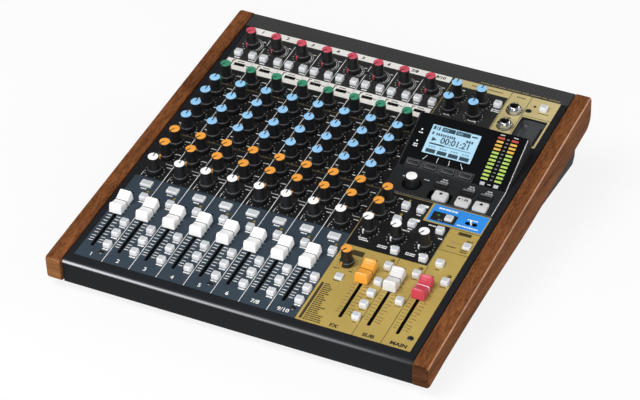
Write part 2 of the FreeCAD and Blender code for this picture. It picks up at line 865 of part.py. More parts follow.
def make_fader_body(number):
    """The long track under a slot, open along the top for the lever."""
    u = column(number) + slot_offset
    v = slot_start + slot_length / 2
    track = block_about(u, v, track_width, slot_length + 2 * track_end, board_top, -sheet)
    room = block_about(u, v, lever_width + 1.0, slot_length, lever_foot - 1.0, 0.0)
    return track.cut(room)


def make_key_switches():
    """The switch under every button, one travel below it."""
    top = -key_skirt - key_travel - fit_gap
    places = master_key_places() + menu_key_places() + transport_key_places()
    for row in channel_key_places().values():
        places += row
    return [block_about(u, v, switch_width, switch_width, board_top, top) for u, v, *_ in places]


def make_slider(u, v, height):
    return block_about(u, v, *lever_section, lever_section_foot, height)


def make_feet():
    half = deck_width / 2 - foot_inset
    rows = (deck_front_y + foot_inset, rear_y - foot_inset)
    feet = []
    for x in (-half, half):
        for y in rows:
            feet.append(faceted(x, y, [(0.0, foot_radius - 0.8), (foot_height, foot_radius)], 10))
    return feet


def make_screws():
    return [faceted(u, v, [(0.0, 2.8), (0.7, 2.3)], 6) for u, v in screw_places]


def make_all():
    save("deck_panel", make_deck_panel())
    save("chassis_pan", make_chassis_pan(), upright)
    save("rear_panel", make_rear_panel(), upright)
    save("left_wood_side", make_wood_side(-wood_thickness))
    save("right_wood_side", make_wood_side(deck_width))
    save("display_housing", make_housing())
    save("display_lens", lens_blank(-lens_thickness, 0.0), face_place)
    u0, u1, s0, s1 = lcd_window
    save("lcd_module", block(u0, u1, s0, s1, -6.0, -lens_thickness - fit_gap / 2), face_place)
    save("meter_leds", make_meter_leds(), face_place)
    save("status_leds", [faceted(u, v, [(0.0, led_radius), (0.6, led_radius)], 6) for u, v in led_places])
    save("circuit_boards", make_circuit_boards())
    save("knob_pots", make_knob_pots())
    save("fader_bodies", [make_fader_body(number) for _, number in faders])
    save("key_switches", make_key_switches())
    sockets = [make_xlr(world_x(column(n)), False) for n in xlr_input_columns]
    sockets += [make_xlr(world_x(column(n)), True) for n in xlr_output_columns]
    save("xlr_sockets", sockets, upright)
    phones = [placed(make_phones_jack(u, v), deck_place) for u, v in phones_jacks_uv]
    save("jacks", phones + [make_line_jack(x, z) for x, z in line_jack_places()], upright)
    save("data_sockets", make_data_sockets(), upright)
    save("card_recess", make_card_recess())
    save("feet", make_feet(), upright)
    save("deck_screws", make_screws())
    save("strip_knobs", [make_knob(u, v, 0.0) for u, v in fixed_knob_places()])
    for name, u, v in moving_knob_places():
        save(name, make_turning_knob(u, v))
    save("encoder_knob", make_encoder())
    for name, number in faders:
        save(name, make_fader_cap(number))
    for name, places in channel_key_places().items():
        save(name, make_keys(places))
    save("master_buttons", make_keys(master_key_places()))
    save("menu_keys", make_keys(menu_key_places()))
    save("transport_keys", make_keys(transport_key_places()))
    save("function_keys", make_function_keys(), face_place)
    mode_start = mode_offset - mode_travel / 2
    sliders = [make_slider(column(n) + mode_start, mode_row, mode_lever_height) for n in range(channels)]
    save("mode_switches", sliders)
    save("link_switch", make_slider(*link_window[:2], link_lever_height))
    power = block_about(0, 0, power_key, power_key, -6.0, 2.5)
    save("power_switch", power, back_place(power_switch_x(), data_z))


os.makedirs("parts", exist_ok=True)
make_all()
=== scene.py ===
import math

import bmesh
import bpy
from mathutils import Matrix, Vector


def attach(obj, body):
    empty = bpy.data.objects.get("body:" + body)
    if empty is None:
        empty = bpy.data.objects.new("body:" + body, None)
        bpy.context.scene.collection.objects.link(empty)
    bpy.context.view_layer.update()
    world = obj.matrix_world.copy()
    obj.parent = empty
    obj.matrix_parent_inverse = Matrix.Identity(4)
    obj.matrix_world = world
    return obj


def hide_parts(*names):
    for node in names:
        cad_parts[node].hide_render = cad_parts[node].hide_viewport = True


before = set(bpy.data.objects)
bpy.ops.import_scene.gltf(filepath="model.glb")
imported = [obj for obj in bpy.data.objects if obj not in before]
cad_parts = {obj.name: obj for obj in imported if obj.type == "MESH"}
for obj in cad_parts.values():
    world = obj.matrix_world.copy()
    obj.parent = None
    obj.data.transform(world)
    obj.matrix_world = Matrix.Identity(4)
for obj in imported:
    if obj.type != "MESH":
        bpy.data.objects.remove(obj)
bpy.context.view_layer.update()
print("frame loaded:", len(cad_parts), "nodes")

# Everything is drawn in millimetres on the deck (u right, v up the slope, w out of it), then placed.
console = {
    "width": 315.0,
    "length": 368.0,
    "tilt": 9.0,  # degrees
    "frontY": -182.4,
    "frontZ": 30.0,
    "pitch": 25.0,  # from strip to strip
    "firstColumn": 19.7,
    "kink": 217.0,  # where the display's face starts to rise
    "lip": 1.1,
    "slope": 19.4,  # degrees, against the deck
}
tilt = math.radians(console["tilt"])
slope = math.radians(console["slope"])
toMetres = Matrix.Scale(0.001, 4)
deckCorner = Matrix.Translation((-console["width"] / 2, console["frontY"], console["frontZ"]))
deckPlace = toMetres @ deckCorner @ Matrix.Rotation(tilt, 4, "X")
faceTurn = Matrix.Translation((0, console["kink"], console["lip"])) @ Matrix.Rotation(slope, 4, "X")
facePlace = deckPlace @ faceTurn
rearY = console["frontY"] + console["length"] * math.cos(tilt)
rearPlace = toMetres @ Matrix.Translation((0, rearY, 0)) @ Matrix.Rotation(math.radians(-90), 4, "X")


def column(number):
    return console["firstColumn"] + number * console["pitch"]


def worldX(number):
    return column(number) - console["width"] / 2


def linear(hexColour):
    channels = [int(hexColour[i : i + 2], 16) / 255 for i in (1, 3, 5)]
    return [c / 12.92 if c <= 0.04045 else ((c + 0.055) / 1.055) ** 2.4 for c in channels] + [1.0]


# A link's source is a socket, or a node whose first output is meant.
def connect(tree, node, links):
    for key, source in links.items():
        socket = source.outputs[0] if isinstance(source, bpy.types.Node) else source
        tree.links.new(socket, node.inputs[key])


def addNode(tree, kind, settings=None, links=None):
    node = tree.nodes.new(kind)
    for key, value in (settings or {}).items():
        if key == "stops":  # the positions and colours of a ramp
            for stop, (position, colour) in zip(node.color_ramp.elements, value):
                stop.position = position
                stop.color = colour
        elif isinstance(key, int) or key in node.inputs:
            node.inputs[key].default_value = value
        else:
            setattr(node, key, value)
    connect(tree, node, links or {})
    return node


def emptied(owner):
    owner.use_nodes = True
    owner.node_tree.nodes.clear()
    return owner.node_tree


def newMaterial(name, settings):
    material = bpy.data.materials.new(name)
    tree = emptied(material)
    shader = addNode(tree, "ShaderNodeBsdfPrincipled", settings)
    addNode(tree, "ShaderNodeOutputMaterial", links={"Surface": shader})
    return material, tree, shader, addNode(tree, "ShaderNodeTexCoord").outputs["Object"]


# One recipe for moulded, painted, printed and plated surfaces: a fine grain in the gloss and the relief,
# both from a real size in millimetres, and a slow drift in the colour.
def surface(name, colour, roughness, grain=0.5, relief=0.02, more=None, drift=0.06, spread=0.08):
    settings = {"Roughness": roughness, "IOR": 1.5, **(more or {})}
    material, tree, shader, where = newMaterial(name, settings)
    fine = addNode(tree, "ShaderNodeTexNoise", {"Scale": 1000 / grain, "Detail": 2.0}, {"Vector": where})
    slow = addNode(tree, "ShaderNodeTexNoise", {"Scale": 22.0, "Detail": 3.0}, {"Vector": where})
    darker, paler = [
        [min(1.0, c * share) for c in linear(colour)[:3]] + [1.0] for share in (1 - drift, 1 + drift)
    ]
    tone = addNode(tree, "ShaderNodeValToRGB", {"stops": ((0.3, darker), (0.7, paler))}, {"Fac": slow})
    ends = {"To Min": max(0.02, roughness - spread), "To Max": roughness + spread}
    gloss = addNode(tree, "ShaderNodeMapRange", ends, {"Value": fine})
    bump = addNode(tree, "ShaderNodeBump", {"Strength": 0.5, "Distance": relief / 1000}, {"Height": fine})
    connect(tree, shader, {"Base Color": tone, "Roughness": gloss, "Normal": bump})
    return material


# Oiled walnut, sawn along the slope: bands of 1.5 mm drawn out to 40, pores of 0.5 mm drawn out to 13.
# polish is the share of a satin coat, left by handling on the rounded edges.
def walnutVeneer(name, pale, dark, polish=0.0, fibres=(1.0, 0.04, 1.0)):
    settings = {"Roughness": 0.6, "IOR": 1.45, "Specular IOR Level": 0.02}
    settings.update({"Coat Weight": polish, "Coat Roughness": 0.28})
    material, tree, shader, where = newMaterial(name, settings)
    turned = {"Rotation": (-tilt, 0.0, 0.0), "Scale": fibres}
    grain = addNode(tree, "ShaderNodeMapping", turned, {"Vector": where})
    bend, bands, pores = [
        addNode(tree, "ShaderNodeTexNoise", noise, {"Vector": grain})
        for noise in (
            {"Scale": 90.0, "Detail": 3.0},
            {"Scale": 620.0, "Detail": 4.0, "Roughness": 0.7, "Distortion": 0.35},
            {"Scale": 1900.0, "Detail": 2.0},
        )
    ]
    mix = addNode(tree, "ShaderNodeMath", {"operation": "MULTIPLY_ADD", 1: 0.55}, {0: bend, 2: bands})
    woodStops = ((0.6, linear(dark)), (0.96, linear(pale)))
    poreStops = ((0.34, (0.45, 0.4, 0.36, 1.0)), (0.46, (1.0, 1.0, 1.0, 1.0)))
    wood = addNode(tree, "ShaderNodeValToRGB", {"stops": woodStops}, {"Fac": mix})
    shade = addNode(tree, "ShaderNodeValToRGB", {"stops": poreStops}, {"Fac": pores})
    darkening = {"data_type": "RGBA", "blend_type": "MULTIPLY", "Factor": 0.8}
    both = addNode(tree, "ShaderNodeMix", darkening, {6: wood, 7: shade})
    bump = addNode(tree, "ShaderNodeBump", {"Strength": 0.35, "Distance": 0.00008}, {"Height": pores})
    connect(tree, shader, {"Base Color": both.outputs[2], "Normal": bump})
    return material


# A painted highlight along the rolled front fold of the powder-coated sheet: pale at the left end, fading to
# dark at the right.
def paintedHighlightFold(name, left, right):
    settings = {"Roughness": 0.42, "IOR": 1.5, "Specular IOR Level": 0.15}
    material, tree, shader, where = newMaterial(name, settings)
    parts = addNode(tree, "ShaderNodeSeparateXYZ", links={0: where})
    half = console["width"] / 2000
    span = {"From Min": -half, "From Max": half}
    share = addNode(tree, "ShaderNodeMapRange", span, {"Value": parts.outputs["X"]})
    ends = {"data_type": "RGBA", 6: linear(left), 7: linear(right)}
    tone = addNode(tree, "ShaderNodeMix", ends, {0: share})
    connect(tree, shader, {"Base Color": tone.outputs[2]})
    return material


# A lamp behind a diffusing window, which glows its own colour.
def lit(name, colour, glow):
    light = {"Emission Color": linear(colour), "Emission Strength": glow}
    return surface(name, colour, 0.3, 0.4, 0.0, light, 0.03)


dull = {"Specular IOR Level": 0.12}
flake = {"Metallic": 0.15}
plated = {"Metallic": 1.0}
alongEnd = (0.05, 1.0, 1.0)

# Each row is a surface: name, colour, roughness, grain, relief, other settings, drift, spread.
surfaces = {
    # powder coat and enamel on sheet steel: satin, fine orange peel
    "border": ("satinBlackPowder", "#1f2023", 0.5, 0.45, 0.01, dull),
    # the front face: the border's powder, darker as painted shade
    "apron": ("frontFacePaintedShade", "#141517", 0.55, 0.3, 0.006, dull),
    "panSteel": ("blackPowderSteel", "#18191a", 0.55, 0.5, 0.02, dull),
    "slate": ("slateEnamel", "#303d49", 0.48, 0.45, 0.006),
    "black": ("blackEnamel", "#090a0c", 0.5, 0.45, 0.005),
    "charcoal": ("charcoalEnamel", "#262626", 0.46, 0.45, 0.006),
    # the rear strip: the black deck drawn lighter grey, as a painted sheen from light behind it
    "stripGrey": ("rearStripPaintedSheen", "#3a3b3a", 0.4, 0.45, 0.006),
    "blue": ("blueEnamel", "#2f8fe6", 0.4, 0.45, 0.01),
    # gold ink with metal flake: slightly metallic, broad highlight
    "gold": ("goldFlakeInk", "#bfa55a", 0.42, 0.25, 0.006, flake),
    # the same gold ink, paler on the rear area as a painted sheen
    "goldPale": ("goldFlakeInkPaintedSheen", "#d2c18a", 0.42, 0.25, 0.006, flake),
    "inkGold": ("goldInk", "#a2905c", 0.5, 0.5, 0.004, flake),
    # screen-printed inks: thin, dull
    "inkWhite": ("whiteInk", "#f2f2f0", 0.55, 0.5, 0.004),
    "inkBand": ("warmWhiteInk", "#e9e6e0", 0.55, 0.5, 0.004),
    "inkBlack": ("blackInk", "#141414", 0.55, 0.5, 0.004),
    "inkBrown": ("darkInkOnGold", "#3f3418", 0.55, 0.5, 0.004),
    "inkGrey": ("greyInk", "#b9bcbf", 0.55, 0.5, 0.004),
    "inkDim": ("dimGreyInk", "#76797c", 0.55, 0.5, 0.004),
    # soft-touch ABS of the knobs: dull with a faint sheen; the rim is glossier, and its paler grey is a painted
    # highlight on the skirt's shoulder
    "knob": ("softTouchAbs", "#131416", 0.4, 0.3, 0.012),
    "knobRim": ("knobRimPaintedHighlight", "#5c5e62", 0.24, 0.6, 0.0),
    # moulded coloured ABS of the caps: satin, even colour
    "capRed": ("redAbs", "#cc4e60", 0.42, 0.3, 0.008),
    "capGreen": ("greenAbs", "#378c6b", 0.42, 0.3, 0.008),
    "capBlue": ("skyBlueAbs", "#95caf2", 0.42, 0.3, 0.008),
    "capOrange": ("orangeAbs", "#f0a13f", 0.42, 0.3, 0.008),
    "capWhite": ("whiteAbs", "#fafaf8", 0.38, 0.3, 0.008),
    "faderWhite": ("faderWhiteAbs", "#fcfcfa", 0.36, 0.35, 0.008),
    "faderSub": ("faderGreyWhiteAbs", "#e2e1df", 0.36, 0.35, 0.008),
    "faderOrange": ("faderOrangeAbs", "#f3a63c", 0.36, 0.35, 0.008),
    "faderRed": ("faderRedAbs", "#cb4152", 0.36, 0.35, 0.008),
    # translucent silicone keys: milky sides, a greyer flat on top
    "key": ("translucentKey", "#e6e7ea", 0.3, 0.4, 0.008),
    "keyFace": ("translucentKeyFace", "#c6cacd", 0.36, 0.4, 0.008),
    # moulded ABS and nylon of keys, housing and sockets: satin, lightly spark-eroded
    "keyGrey": ("lightGreyAbs", "#cfcfce", 0.4, 0.35),
    "keyBlack": ("blackAbs", "#161618", 0.35, 0.35),
    # a painted highlight: paler grey on key tops and rims where their edges catch the light
    "keySheen": ("keyEdgePaintedHighlight", "#6b6d70", 0.3, 0.35, 0.0),
    "housing": ("charcoalAbs", "#1f2022", 0.45, 0.35, 0.025),
    "tray": ("greyAbsTray", "#484a4d", 0.4, 0.35, 0.01),
    "socket": ("blackNylon", "#121214", 0.38, 0.4),
    "component": ("componentAbs", "#1f2022", 0.5, 0.6),
    # painted shade inside holes, slots and recesses; also the real dark lines on knob caps and fader caps
    "dark": ("darkLinesAndPaintedShade", "#060607", 0.7, 0.6),
    # smoked acrylic: black and glossy; rubber: black and matt; solder mask: dark green lacquer
    "lens": ("smokedAcrylic", "#0a0b0d", 0.12, 2.0, 0.0, None, 0.02, 0.02),
    "rubber": ("blackRubber", "#171717", 0.75, 0.6, 0.05),
    "board": ("solderMask", "#17422a", 0.35, 0.8),
    # plated metals: chrome bright, nickel warm and softer, zinc grey
    "chrome": ("chromePlate", "#cfd0d2", 0.14, 1.2, 0.002, plated, 0.02, 0.04),
    "nickel": ("nickelPlate", "#b5b1a8", 0.3, 0.8, 0.004, plated, 0.03, 0.06),
    "screw": ("zincScrew", "#5c5e61", 0.34, 0.5, 0.004, plated, 0.06, 0.05),
    # dark crystals of the display, and small lamps that are off: clear tinted resin
    "lcdInk": ("lcdSegment", "#1f3a48", 0.4, 0.3),
    "lcdPale": ("lcdGreySegment", "#6f9db4", 0.4, 0.3),
    "lampAmber": ("unlitAmberLamp", "#8c7a2a", 0.25, 0.4),
    "lampRed": ("unlitRedLamp", "#4a2114", 0.25, 0.4),
    "lampGreen": ("unlitGreenLamp", "#2f6b3a", 0.25, 0.4),
    "lampClear": ("unlitClearLamp", "#a58f7a", 0.25, 0.4),
}
finish = {key: surface(*row) for key, row in surfaces.items()}
finish.update(
    {
        # painted highlight on the front fold: full on its middle band, half on the bands beside it
        "fold": paintedHighlightFold("paintedHighlightFold", "#c4c6ca", "#323437"),
        "foldSide": paintedHighlightFold("halfPaintedHighlightFold", "#76787c", "#222326"),
        "wood": walnutVeneer("oiledWalnut", "#8d5834", "#57341f"),
        # the paler colour on the rounded edge is a painted highlight line; its satin coat adds a real gloss too
        "woodEdge": walnutVeneer("walnutEdgePaintedHighlight", "#c3906c", "#996848", 0.6),
        # the front ends: one walnut end grain, painted lit for the left end and shaded for the right
        "woodEndLeft": walnutVeneer("paintedLitWalnutEnd", "#9c6c46", "#6f4829", 0.0, alongEnd),
        "woodEndRight": walnutVeneer("paintedShadedWalnutEnd", "#66402a", "#3d2516", 0.0, alongEnd),
        "lcd": lit("lcdBacklight", "#a2c8dc", 0.2),
        "ledGreen": lit("greenBar", "#a9c45e", 0.1),
        "ledOrange": lit("amberBar", "#d8ab4c", 0.1),
        "ledRed": lit("redBar", "#b84c3c", 0.1),
    }
)
print("finishes ready:", len(finish))


# Every shape is drawn into a bmesh, which it gives back, so that calls can follow one another.
def skin(bm, rings, slots=None, tube=False):
    loops = [[bm.verts.new(point) for point in ring] for ring in rings]
    slots = slots or [0] * len(loops)
    following = loops[1:] + loops[:1] if tube else loops[1:]
    for slot, lower, upper in zip(slots, loops, following):
        for i in range(len(lower)):
            bm.faces.new((lower[i - 1], lower[i], upper[i], upper[i - 1])).material_index = slot
    if not tube:
        bm.faces.new(loops[0][::-1]).material_index = slots[0]
        bm.faces.new(loops[-1]).material_index = slots[-1]
    return bm


def roundedOutline(u, v, width, depth, radius, steps=3):
    radius = max(0.02, min(radius, width / 2 - 0.01, depth / 2 - 0.01))
    points = []
    for quarter, (sx, sy) in enumerate(((1, 1), (-1, 1), (-1, -1), (1, -1))):
        cx = u + sx * (width / 2 - radius)
        cy = v + sy * (depth / 2 - radius)
        points += arcPoints(cx, cy, radius, 90 * quarter, 90 * quarter + 90, steps)
    return points


def arcPoints(cx, cy, radius, start, stop, steps):
    turns = [math.radians(start + (stop - start) * i / steps) for i in range(steps + 1)]
    return [(cx + radius * math.cos(turn), cy + radius * math.sin(turn)) for turn in turns]


# A key-like solid: levels are (height, how far the outline is drawn in there). A tube makes it a frame.
def pad(bm, u, v, width, depth, radius, levels, steps=3, tube=False):
    rings = []
    for height, inset in levels:
        outline = roundedOutline(u, v, width - 2 * inset, depth - 2 * inset, radius - inset * 0.6, steps)
        rings.append([(x, y, height) for x, y in outline])
    return skin(bm, rings, tube=tube)


def block(bm, u, v, width, depth, radius, low, high, steps=3):
    return pad(bm, u, v, width, depth, radius, ((low, 0), (high, 0)), steps)


def lathe(bm, u, v, profile, segments, ribs=0.0, ribSpans=(), tube=False, start=0.0):
    rings = []
    for index, (radius, height) in enumerate(profile):
        ring = []
        for i in range(segments):
            turn = math.radians(start) + 2 * math.pi * i / segments
            reach = radius - (ribs if index in ribSpans and i % 2 else 0.0)
            ring.append((u + reach * math.cos(turn), v + reach * math.sin(turn), height))
        rings.append(ring)
    return skin(bm, rings, tube=tube)


def prism(bm, outline, low, high):
    return skin(bm, [[(x, y, height) for x, y in outline] for height in (low, high)])


def plate(bm, u0, u1, v0, v1, low, high):
    return prism(bm, [(u0, v0), (u1, v0), (u1, v1), (u0, v1)], low, high)


def plates(bm, rows, low, high):
    for row in rows:
        plate(bm, *row, low, high)
    return bm


def meshOf(bm, name, *finishNames):
    bmesh.ops.recalc_face_normals(bm, faces=bm.faces)
    mesh = bpy.data.meshes.new(name)
    bm.to_mesh(mesh)
    bm.free()
    for finishName in finishNames:
        mesh.materials.append(finish[finishName])
    return mesh


def linked(name, data):
    obj = bpy.data.objects.new(name, data)
    bpy.context.scene.collection.objects.link(obj)
    return obj


def evaluated(obj):
    bpy.context.view_layer.update()
    depsgraph = bpy.context.evaluated_depsgraph_get()
    mesh = bpy.data.meshes.new_from_object(obj.evaluated_get(depsgraph), depsgraph=depsgraph)
    bpy.data.objects.remove(obj)
    return mesh


# Several meshes become one, each keeping its own finishes.
def joined(name, meshes):
    bm = bmesh.new()
    materials = []
    for mesh in meshes:
        start = len(bm.faces)
        bm.from_mesh(mesh)
        bm.faces.ensure_lookup_table()
        materials += [material for material in mesh.materials if material not in materials]
        slots = [materials.index(material) for material in mesh.materials] or [0]
        for face in bm.faces[start:]:
            face.material_index = slots[face.material_index]
    merged = bpy.data.meshes.new(name)
    bm.to_mesh(merged)
    bm.free()
    for material in materials:
        merged.materials.append(material)
    return merged


def finishPiece(name, mesh, place, body, nodes=(), smooth=32.0):
    mesh.transform(place)
    mesh.polygons.foreach_set("use_smooth", [True] * len(mesh.polygons))
    mesh.set_sharp_from_angle(angle=math.radians(smooth))
    obj = linked(name, mesh)
    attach(obj, body)
    if nodes:
        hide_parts(*nodes)


def carved(mesh, name, *cutters):
    for cutter in cutters:
        obj = linked(name, mesh)
        tool = linked(name + "Cutter", cutter)
        cut = obj.modifiers.new("cut", "BOOLEAN")
        cut.operation = "DIFFERENCE"
        cut.solver = "EXACT"
        cut.object = tool
        mesh = evaluated(obj)
        bpy.data.objects.remove(tool)
    return mesh


# Geometry Nodes make what repeats. Each tree takes points and gives real geometry in one finish.
def newTree(name, inputs):
    tree = bpy.data.node_groups.new(name, "GeometryNodeTree")
    sockets = {"Geometry": "Geometry", **inputs, "Finish": "Material"}
    for socketName, kind in sockets.items():
        tree.interface.new_socket(socketName, in_out="INPUT", socket_type="NodeSocket" + kind)
    tree.interface.new_socket("Geometry", in_out="OUTPUT", socket_type="NodeSocketGeometry")
    return tree, addNode(tree, "NodeGroupInput").outputs


def closeTree(tree, entry, placed):
    real = addNode(tree, "GeometryNodeRealizeInstances", links={"Geometry": placed})
    painted = addNode(
        tree, "GeometryNodeSetMaterial", links={"Geometry": real, "Material": entry["Finish"]}
    )
    addNode(tree, "NodeGroupOutput", links={"Geometry": painted})
    return tree


# one part on every point, turned by the point's own angle
def partsOnPoints():
    tree, entry = newTree("partsOnPoints", {"Part": "Object"})
    part = addNode(tree, "GeometryNodeObjectInfo", links={"Object": entry["Part"]})
    turn = addNode(tree, "GeometryNodeInputNamedAttribute", {"data_type": "FLOAT", "Name": "turn"})
    spin = addNode(tree, "ShaderNodeCombineXYZ", links={"Z": turn.outputs["Attribute"]})
    seats = {"Points": entry["Geometry"], "Instance": part.outputs["Geometry"], "Rotation": spin}
    return closeTree(tree, entry, addNode(tree, "GeometryNodeInstanceOnPoints", links=seats))


# a row of flat bars from every point, for scales and ladders
def barsFromPoints():
    tree, entry = newTree("barsFromPoints", {"Rows": "Int", "Step": "Vector", "Bar": "Vector"})
    steps = {"Count": entry["Rows"], "Offset": entry["Step"]}
    row = addNode(tree, "GeometryNodeMeshLine", {"mode": "OFFSET"}, steps)
    seats = {"Points": entry["Geometry"], "Instance": row}
    rows = addNode(tree, "GeometryNodeInstanceOnPoints", links=seats)
    spots = addNode(tree, "GeometryNodeRealizeInstances", links={"Geometry": rows})
    bar = addNode(tree, "GeometryNodeMeshCube", links={"Size": entry["Bar"]})
    seats = {"Points": spots, "Instance": bar}
    return closeTree(tree, entry, addNode(tree, "GeometryNodeInstanceOnPoints", links=seats))


# an arc of small dots round every point, for the dials
def dotsRoundPoints():
    arcInputs = {"Radius": "Float", "Start Angle": "Float", "Sweep Angle": "Float"}
    tree, entry = newTree("dotsRoundPoints", {"Dots": "Int", **arcInputs, "Dot": "Vector"})
    shape = {name: entry[name] for name in arcInputs}
    arc = addNode(tree, "GeometryNodeCurveArc", {"mode": "RADIUS", "Resolution": 24}, shape)
    count = {"Curve": arc, "Count": entry["Dots"]}
    spots = addNode(tree, "GeometryNodeCurveToPoints", {"mode": "COUNT"}, count)
    dot = addNode(tree, "GeometryNodeMeshCube", links={"Size": entry["Dot"]})
    seats = {"Points": spots, "Instance": dot, "Rotation": spots.outputs["Rotation"]}
    ring = addNode(tree, "GeometryNodeInstanceOnPoints", links=seats)
    dial = addNode(tree, "GeometryNodeRealizeInstances", links={"Geometry": ring})
    seats = {"Points": entry["Geometry"], "Instance": dial}
    return closeTree(tree, entry, addNode(tree, "GeometryNodeInstanceOnPoints", links=seats))


repeats = {"parts": partsOnPoints(), "bars": barsFromPoints(), "dots": dotsRoundPoints()}


def repeated(kind, points, inputs):
    mesh = bpy.data.meshes.new("points")
    mesh.from_pydata([(*p, 0.0)[:3] for p in points], [], [])
    turns = mesh.attributes.new("turn", "FLOAT", "POINT")
    turns.data.foreach_set("value", [math.radians(p[3]) if len(p) > 3 else 0.0 for p in points])
    host = linked("points", mesh)
    modifier = host.modifiers.new("repeat", "NODES")
    modifier.node_group = repeats[kind]
    sockets = {s.name: s.identifier for s in repeats[kind].interface.items_tree if s.in_out == "INPUT"}
    for name, value in inputs.items():
        modifier[sockets[name]] = value
    return evaluated(host)


# puts a mesh with one finish on every point: (u, v), (u, v, w) or (u, v, w, angle)
def instances(points, bm, finishName):
    part = linked("part", meshOf(bm, "part", finishName))
    result = repeated("parts", points, {"Part": part, "Finish": finish[finishName]})
    bpy.data.objects.remove(part)
    return result


def bars(points, rows, step, bar, finishName):
    inputs = {"Rows": rows, "Step": (0, step, 0), "Bar": bar, "Finish": finish[finishName]}
    return repeated("bars", points, inputs)


def dots(points, count, radius, start, sweep, dot, finishName):
    inputs = {"Dots": count, "Radius": radius, "Dot": dot, "Finish": finish[finishName]}
    inputs.update({"Start Angle": math.radians(start), "Sweep Angle": math.radians(sweep)})
    return repeated("dots", points, inputs)


def lettering(text, u, v, size, finishName, height=0.0, lean=0.0, boldness=0.0, stretch=1.0):
    curve = bpy.data.curves.new("lettering", "FONT")
    curve.body = text
    curve.size = size
    curve.shear = lean
    curve.offset = boldness
    curve.align_x = "CENTER"
    curve.align_y = "CENTER"
    curve.extrude = 0.01
    curve.resolution_u = 3
    mesh = evaluated(linked("lettering", curve))
    bpy.data.curves.remove(curve)
    mesh.transform(Matrix.Translation((u, v, height)) @ Matrix.Diagonal((stretch, 1.0, 1.0, 1.0)))
    mesh.materials.clear()
    mesh.materials.append(finish[finishName])
    return mesh


# Rows are places up the slope, offsets are taken from the middle of a strip.
controls = {
    "redRow": 322.5,
    "greenRow": 270.0,
    "blueRows": (248.4, 229.7, 211.0, 192.3),
    "orangeRows": (170.4, 151.6),
    "panRow": 130.0,
    "inputRow": 306.8,
    "inputOffsets": (-5.9, 8.1),
    "recRow": 112.8,
    "recOffset": 1.5,
    "keyOffset": 7.9,
    "muteRow": 95.2,
    "assignRows": (60.3, 45.7, 30.5),
    "lampRow": 104.0,
    "modeRow": 292.2,
    "modeOffset": 1.8,
    "slotOffset": -4.7,
    "slotStart": 25.5,
    "slotLength": 74.0,
    "faderPark": 79.0,
}
faders = [
    ("fader_" + name, number, "faderWhite")
    for number, name in enumerate(("1", "2", "3", "4", "5", "6", "7_8", "9_10"))
]
faders += [("fader_fx", 9, "faderOrange"), ("fader_sub", 10, "faderSub"), ("fader_main", 11, "faderRed")]
masterKeys = [
    (column(number) + offset, row)
    for number, offset, rows in (
        (9, -8.5, (170.2, 151.0)),
        (9, 5.2, (170.2, 151.0)),
        (10, 5.0, (151.7,)),
        (9, 5.2, (114.8,)),
        (10, 5.4, (114.8,)),
        (9, 12.3, (325.5,)),
        (11, 1.7, (335.0,)),
        (11, -4.5, (114.2,)),
        (11, 7.9, (95.2,)),
        (10, 7.9, (95.2,)),
        (9, 7.9, (95.2, 74.5, 60.3, 45.7, 30.5)),
        (10, 7.9, (60.3,)),
    )
    for row in rows
]
lowKeys = [(302.3, 142.5), (220.3, 69.0), (275.3, 169.6)]
masterEqSeats = [(219.7, 322.5), (243.0, 322.5), (219.7, 302.9), (243.0, 302.9)]
phonesJacks = ((272.8, 324.2), (272.8, 301.6))
encoderSeat = (229.3, 198.3)
menuKeys = ((253.6, 204.7), (278.0, 204.7), (294.1, 204.7))
transportKeys = ((258.1, 191.6), (278.6, 191.6), (294.6, 191.6))
cardRecess = {"middle": (294.2, 301.3), "size": (22.4, 34.6), "corner": 4.0, "floor": -2.6, "scoop": -6.6}
linkWindow = {"middle": (294.8, 170.4), "size": (10.4, 3.8)}


def slotU(number):
    return column(number) + controls["slotOffset"]


deckSheet = {
    "thickness": 1.5,
    "bend": 3.6,
    "rearBend": 1.8,
    "bendSteps": 8,
    "frontDrop": 23.0,
    "rearDrop": 8.0,
    "gap": 1.0,
    "cut": (-4.0, 2.0),
    "keyHole": (7.5, 7.2, 1.2),
    # bands of the front bend that take the painted highlight, full and half
    "paintedHighlight": (43, 69),  # degrees of the front bend
    "halfPaintedHighlight": (33, 80),
}


def sheetSide(inset):
    s = deckSheet
    length, bend, rear, drop = console["length"], s["bend"], s["rearBend"], s["rearDrop"]
    points = [(inset, -s["frontDrop"])] + arcPoints(bend, -bend, bend - inset, 180, 90, s["bendSteps"])
    rearCentre = length - rear * math.tan(math.radians((90 + console["tilt"]) / 2))
    points += arcPoints(rearCentre, -rear, rear - inset, 90, -console["tilt"], s["bendSteps"])
    endV = length - drop * math.sin(tilt) - inset * math.cos(tilt)
    return points + [(endV, -drop * math.cos(tilt) + inset * math.sin(tilt))]


def deckCutters():
    s, cut = deckSheet, deckSheet["cut"]
    bm = bmesh.new()
    middle = controls["slotStart"] + controls["slotLength"] / 2
    for _, number, _ in faders:
        block(bm, slotU(number), middle, 3.0, controls["slotLength"], 1.5, *cut, 4)
    for n in range(8):
        c = column(n)
        for offset in controls["inputOffsets"]:
            block(bm, c + offset, controls["inputRow"], *s["keyHole"], *cut)
        block(bm, c + controls["recOffset"], controls["recRow"], 11.5, 7.9, 1.0, *cut)
        for row in (controls["muteRow"],) + controls["assignRows"]:
            block(bm, c + controls["keyOffset"], row, *s["keyHole"], *cut)
        block(bm, c + controls["modeOffset"], controls["modeRow"], 9.2, 2.6, 0.3, *cut)
    for u, v in masterKeys + lowKeys:
        block(bm, u, v, *s["keyHole"], *cut)
    block(bm, *linkWindow["middle"], *linkWindow["size"], 1.2, *cut)
    block(bm, 257.5, 228.0, 93.0, 80.0, 1.0, *cut)  # under the display
    for u, v in phonesJacks:
        lathe(bm, u, v, [(4.9, height) for height in cut], 24)
    block(bm, *cardRecess["middle"], *cardRecess["size"], cardRecess["corner"], *cut, 6)
    return meshOf(bm, "deckCutters")


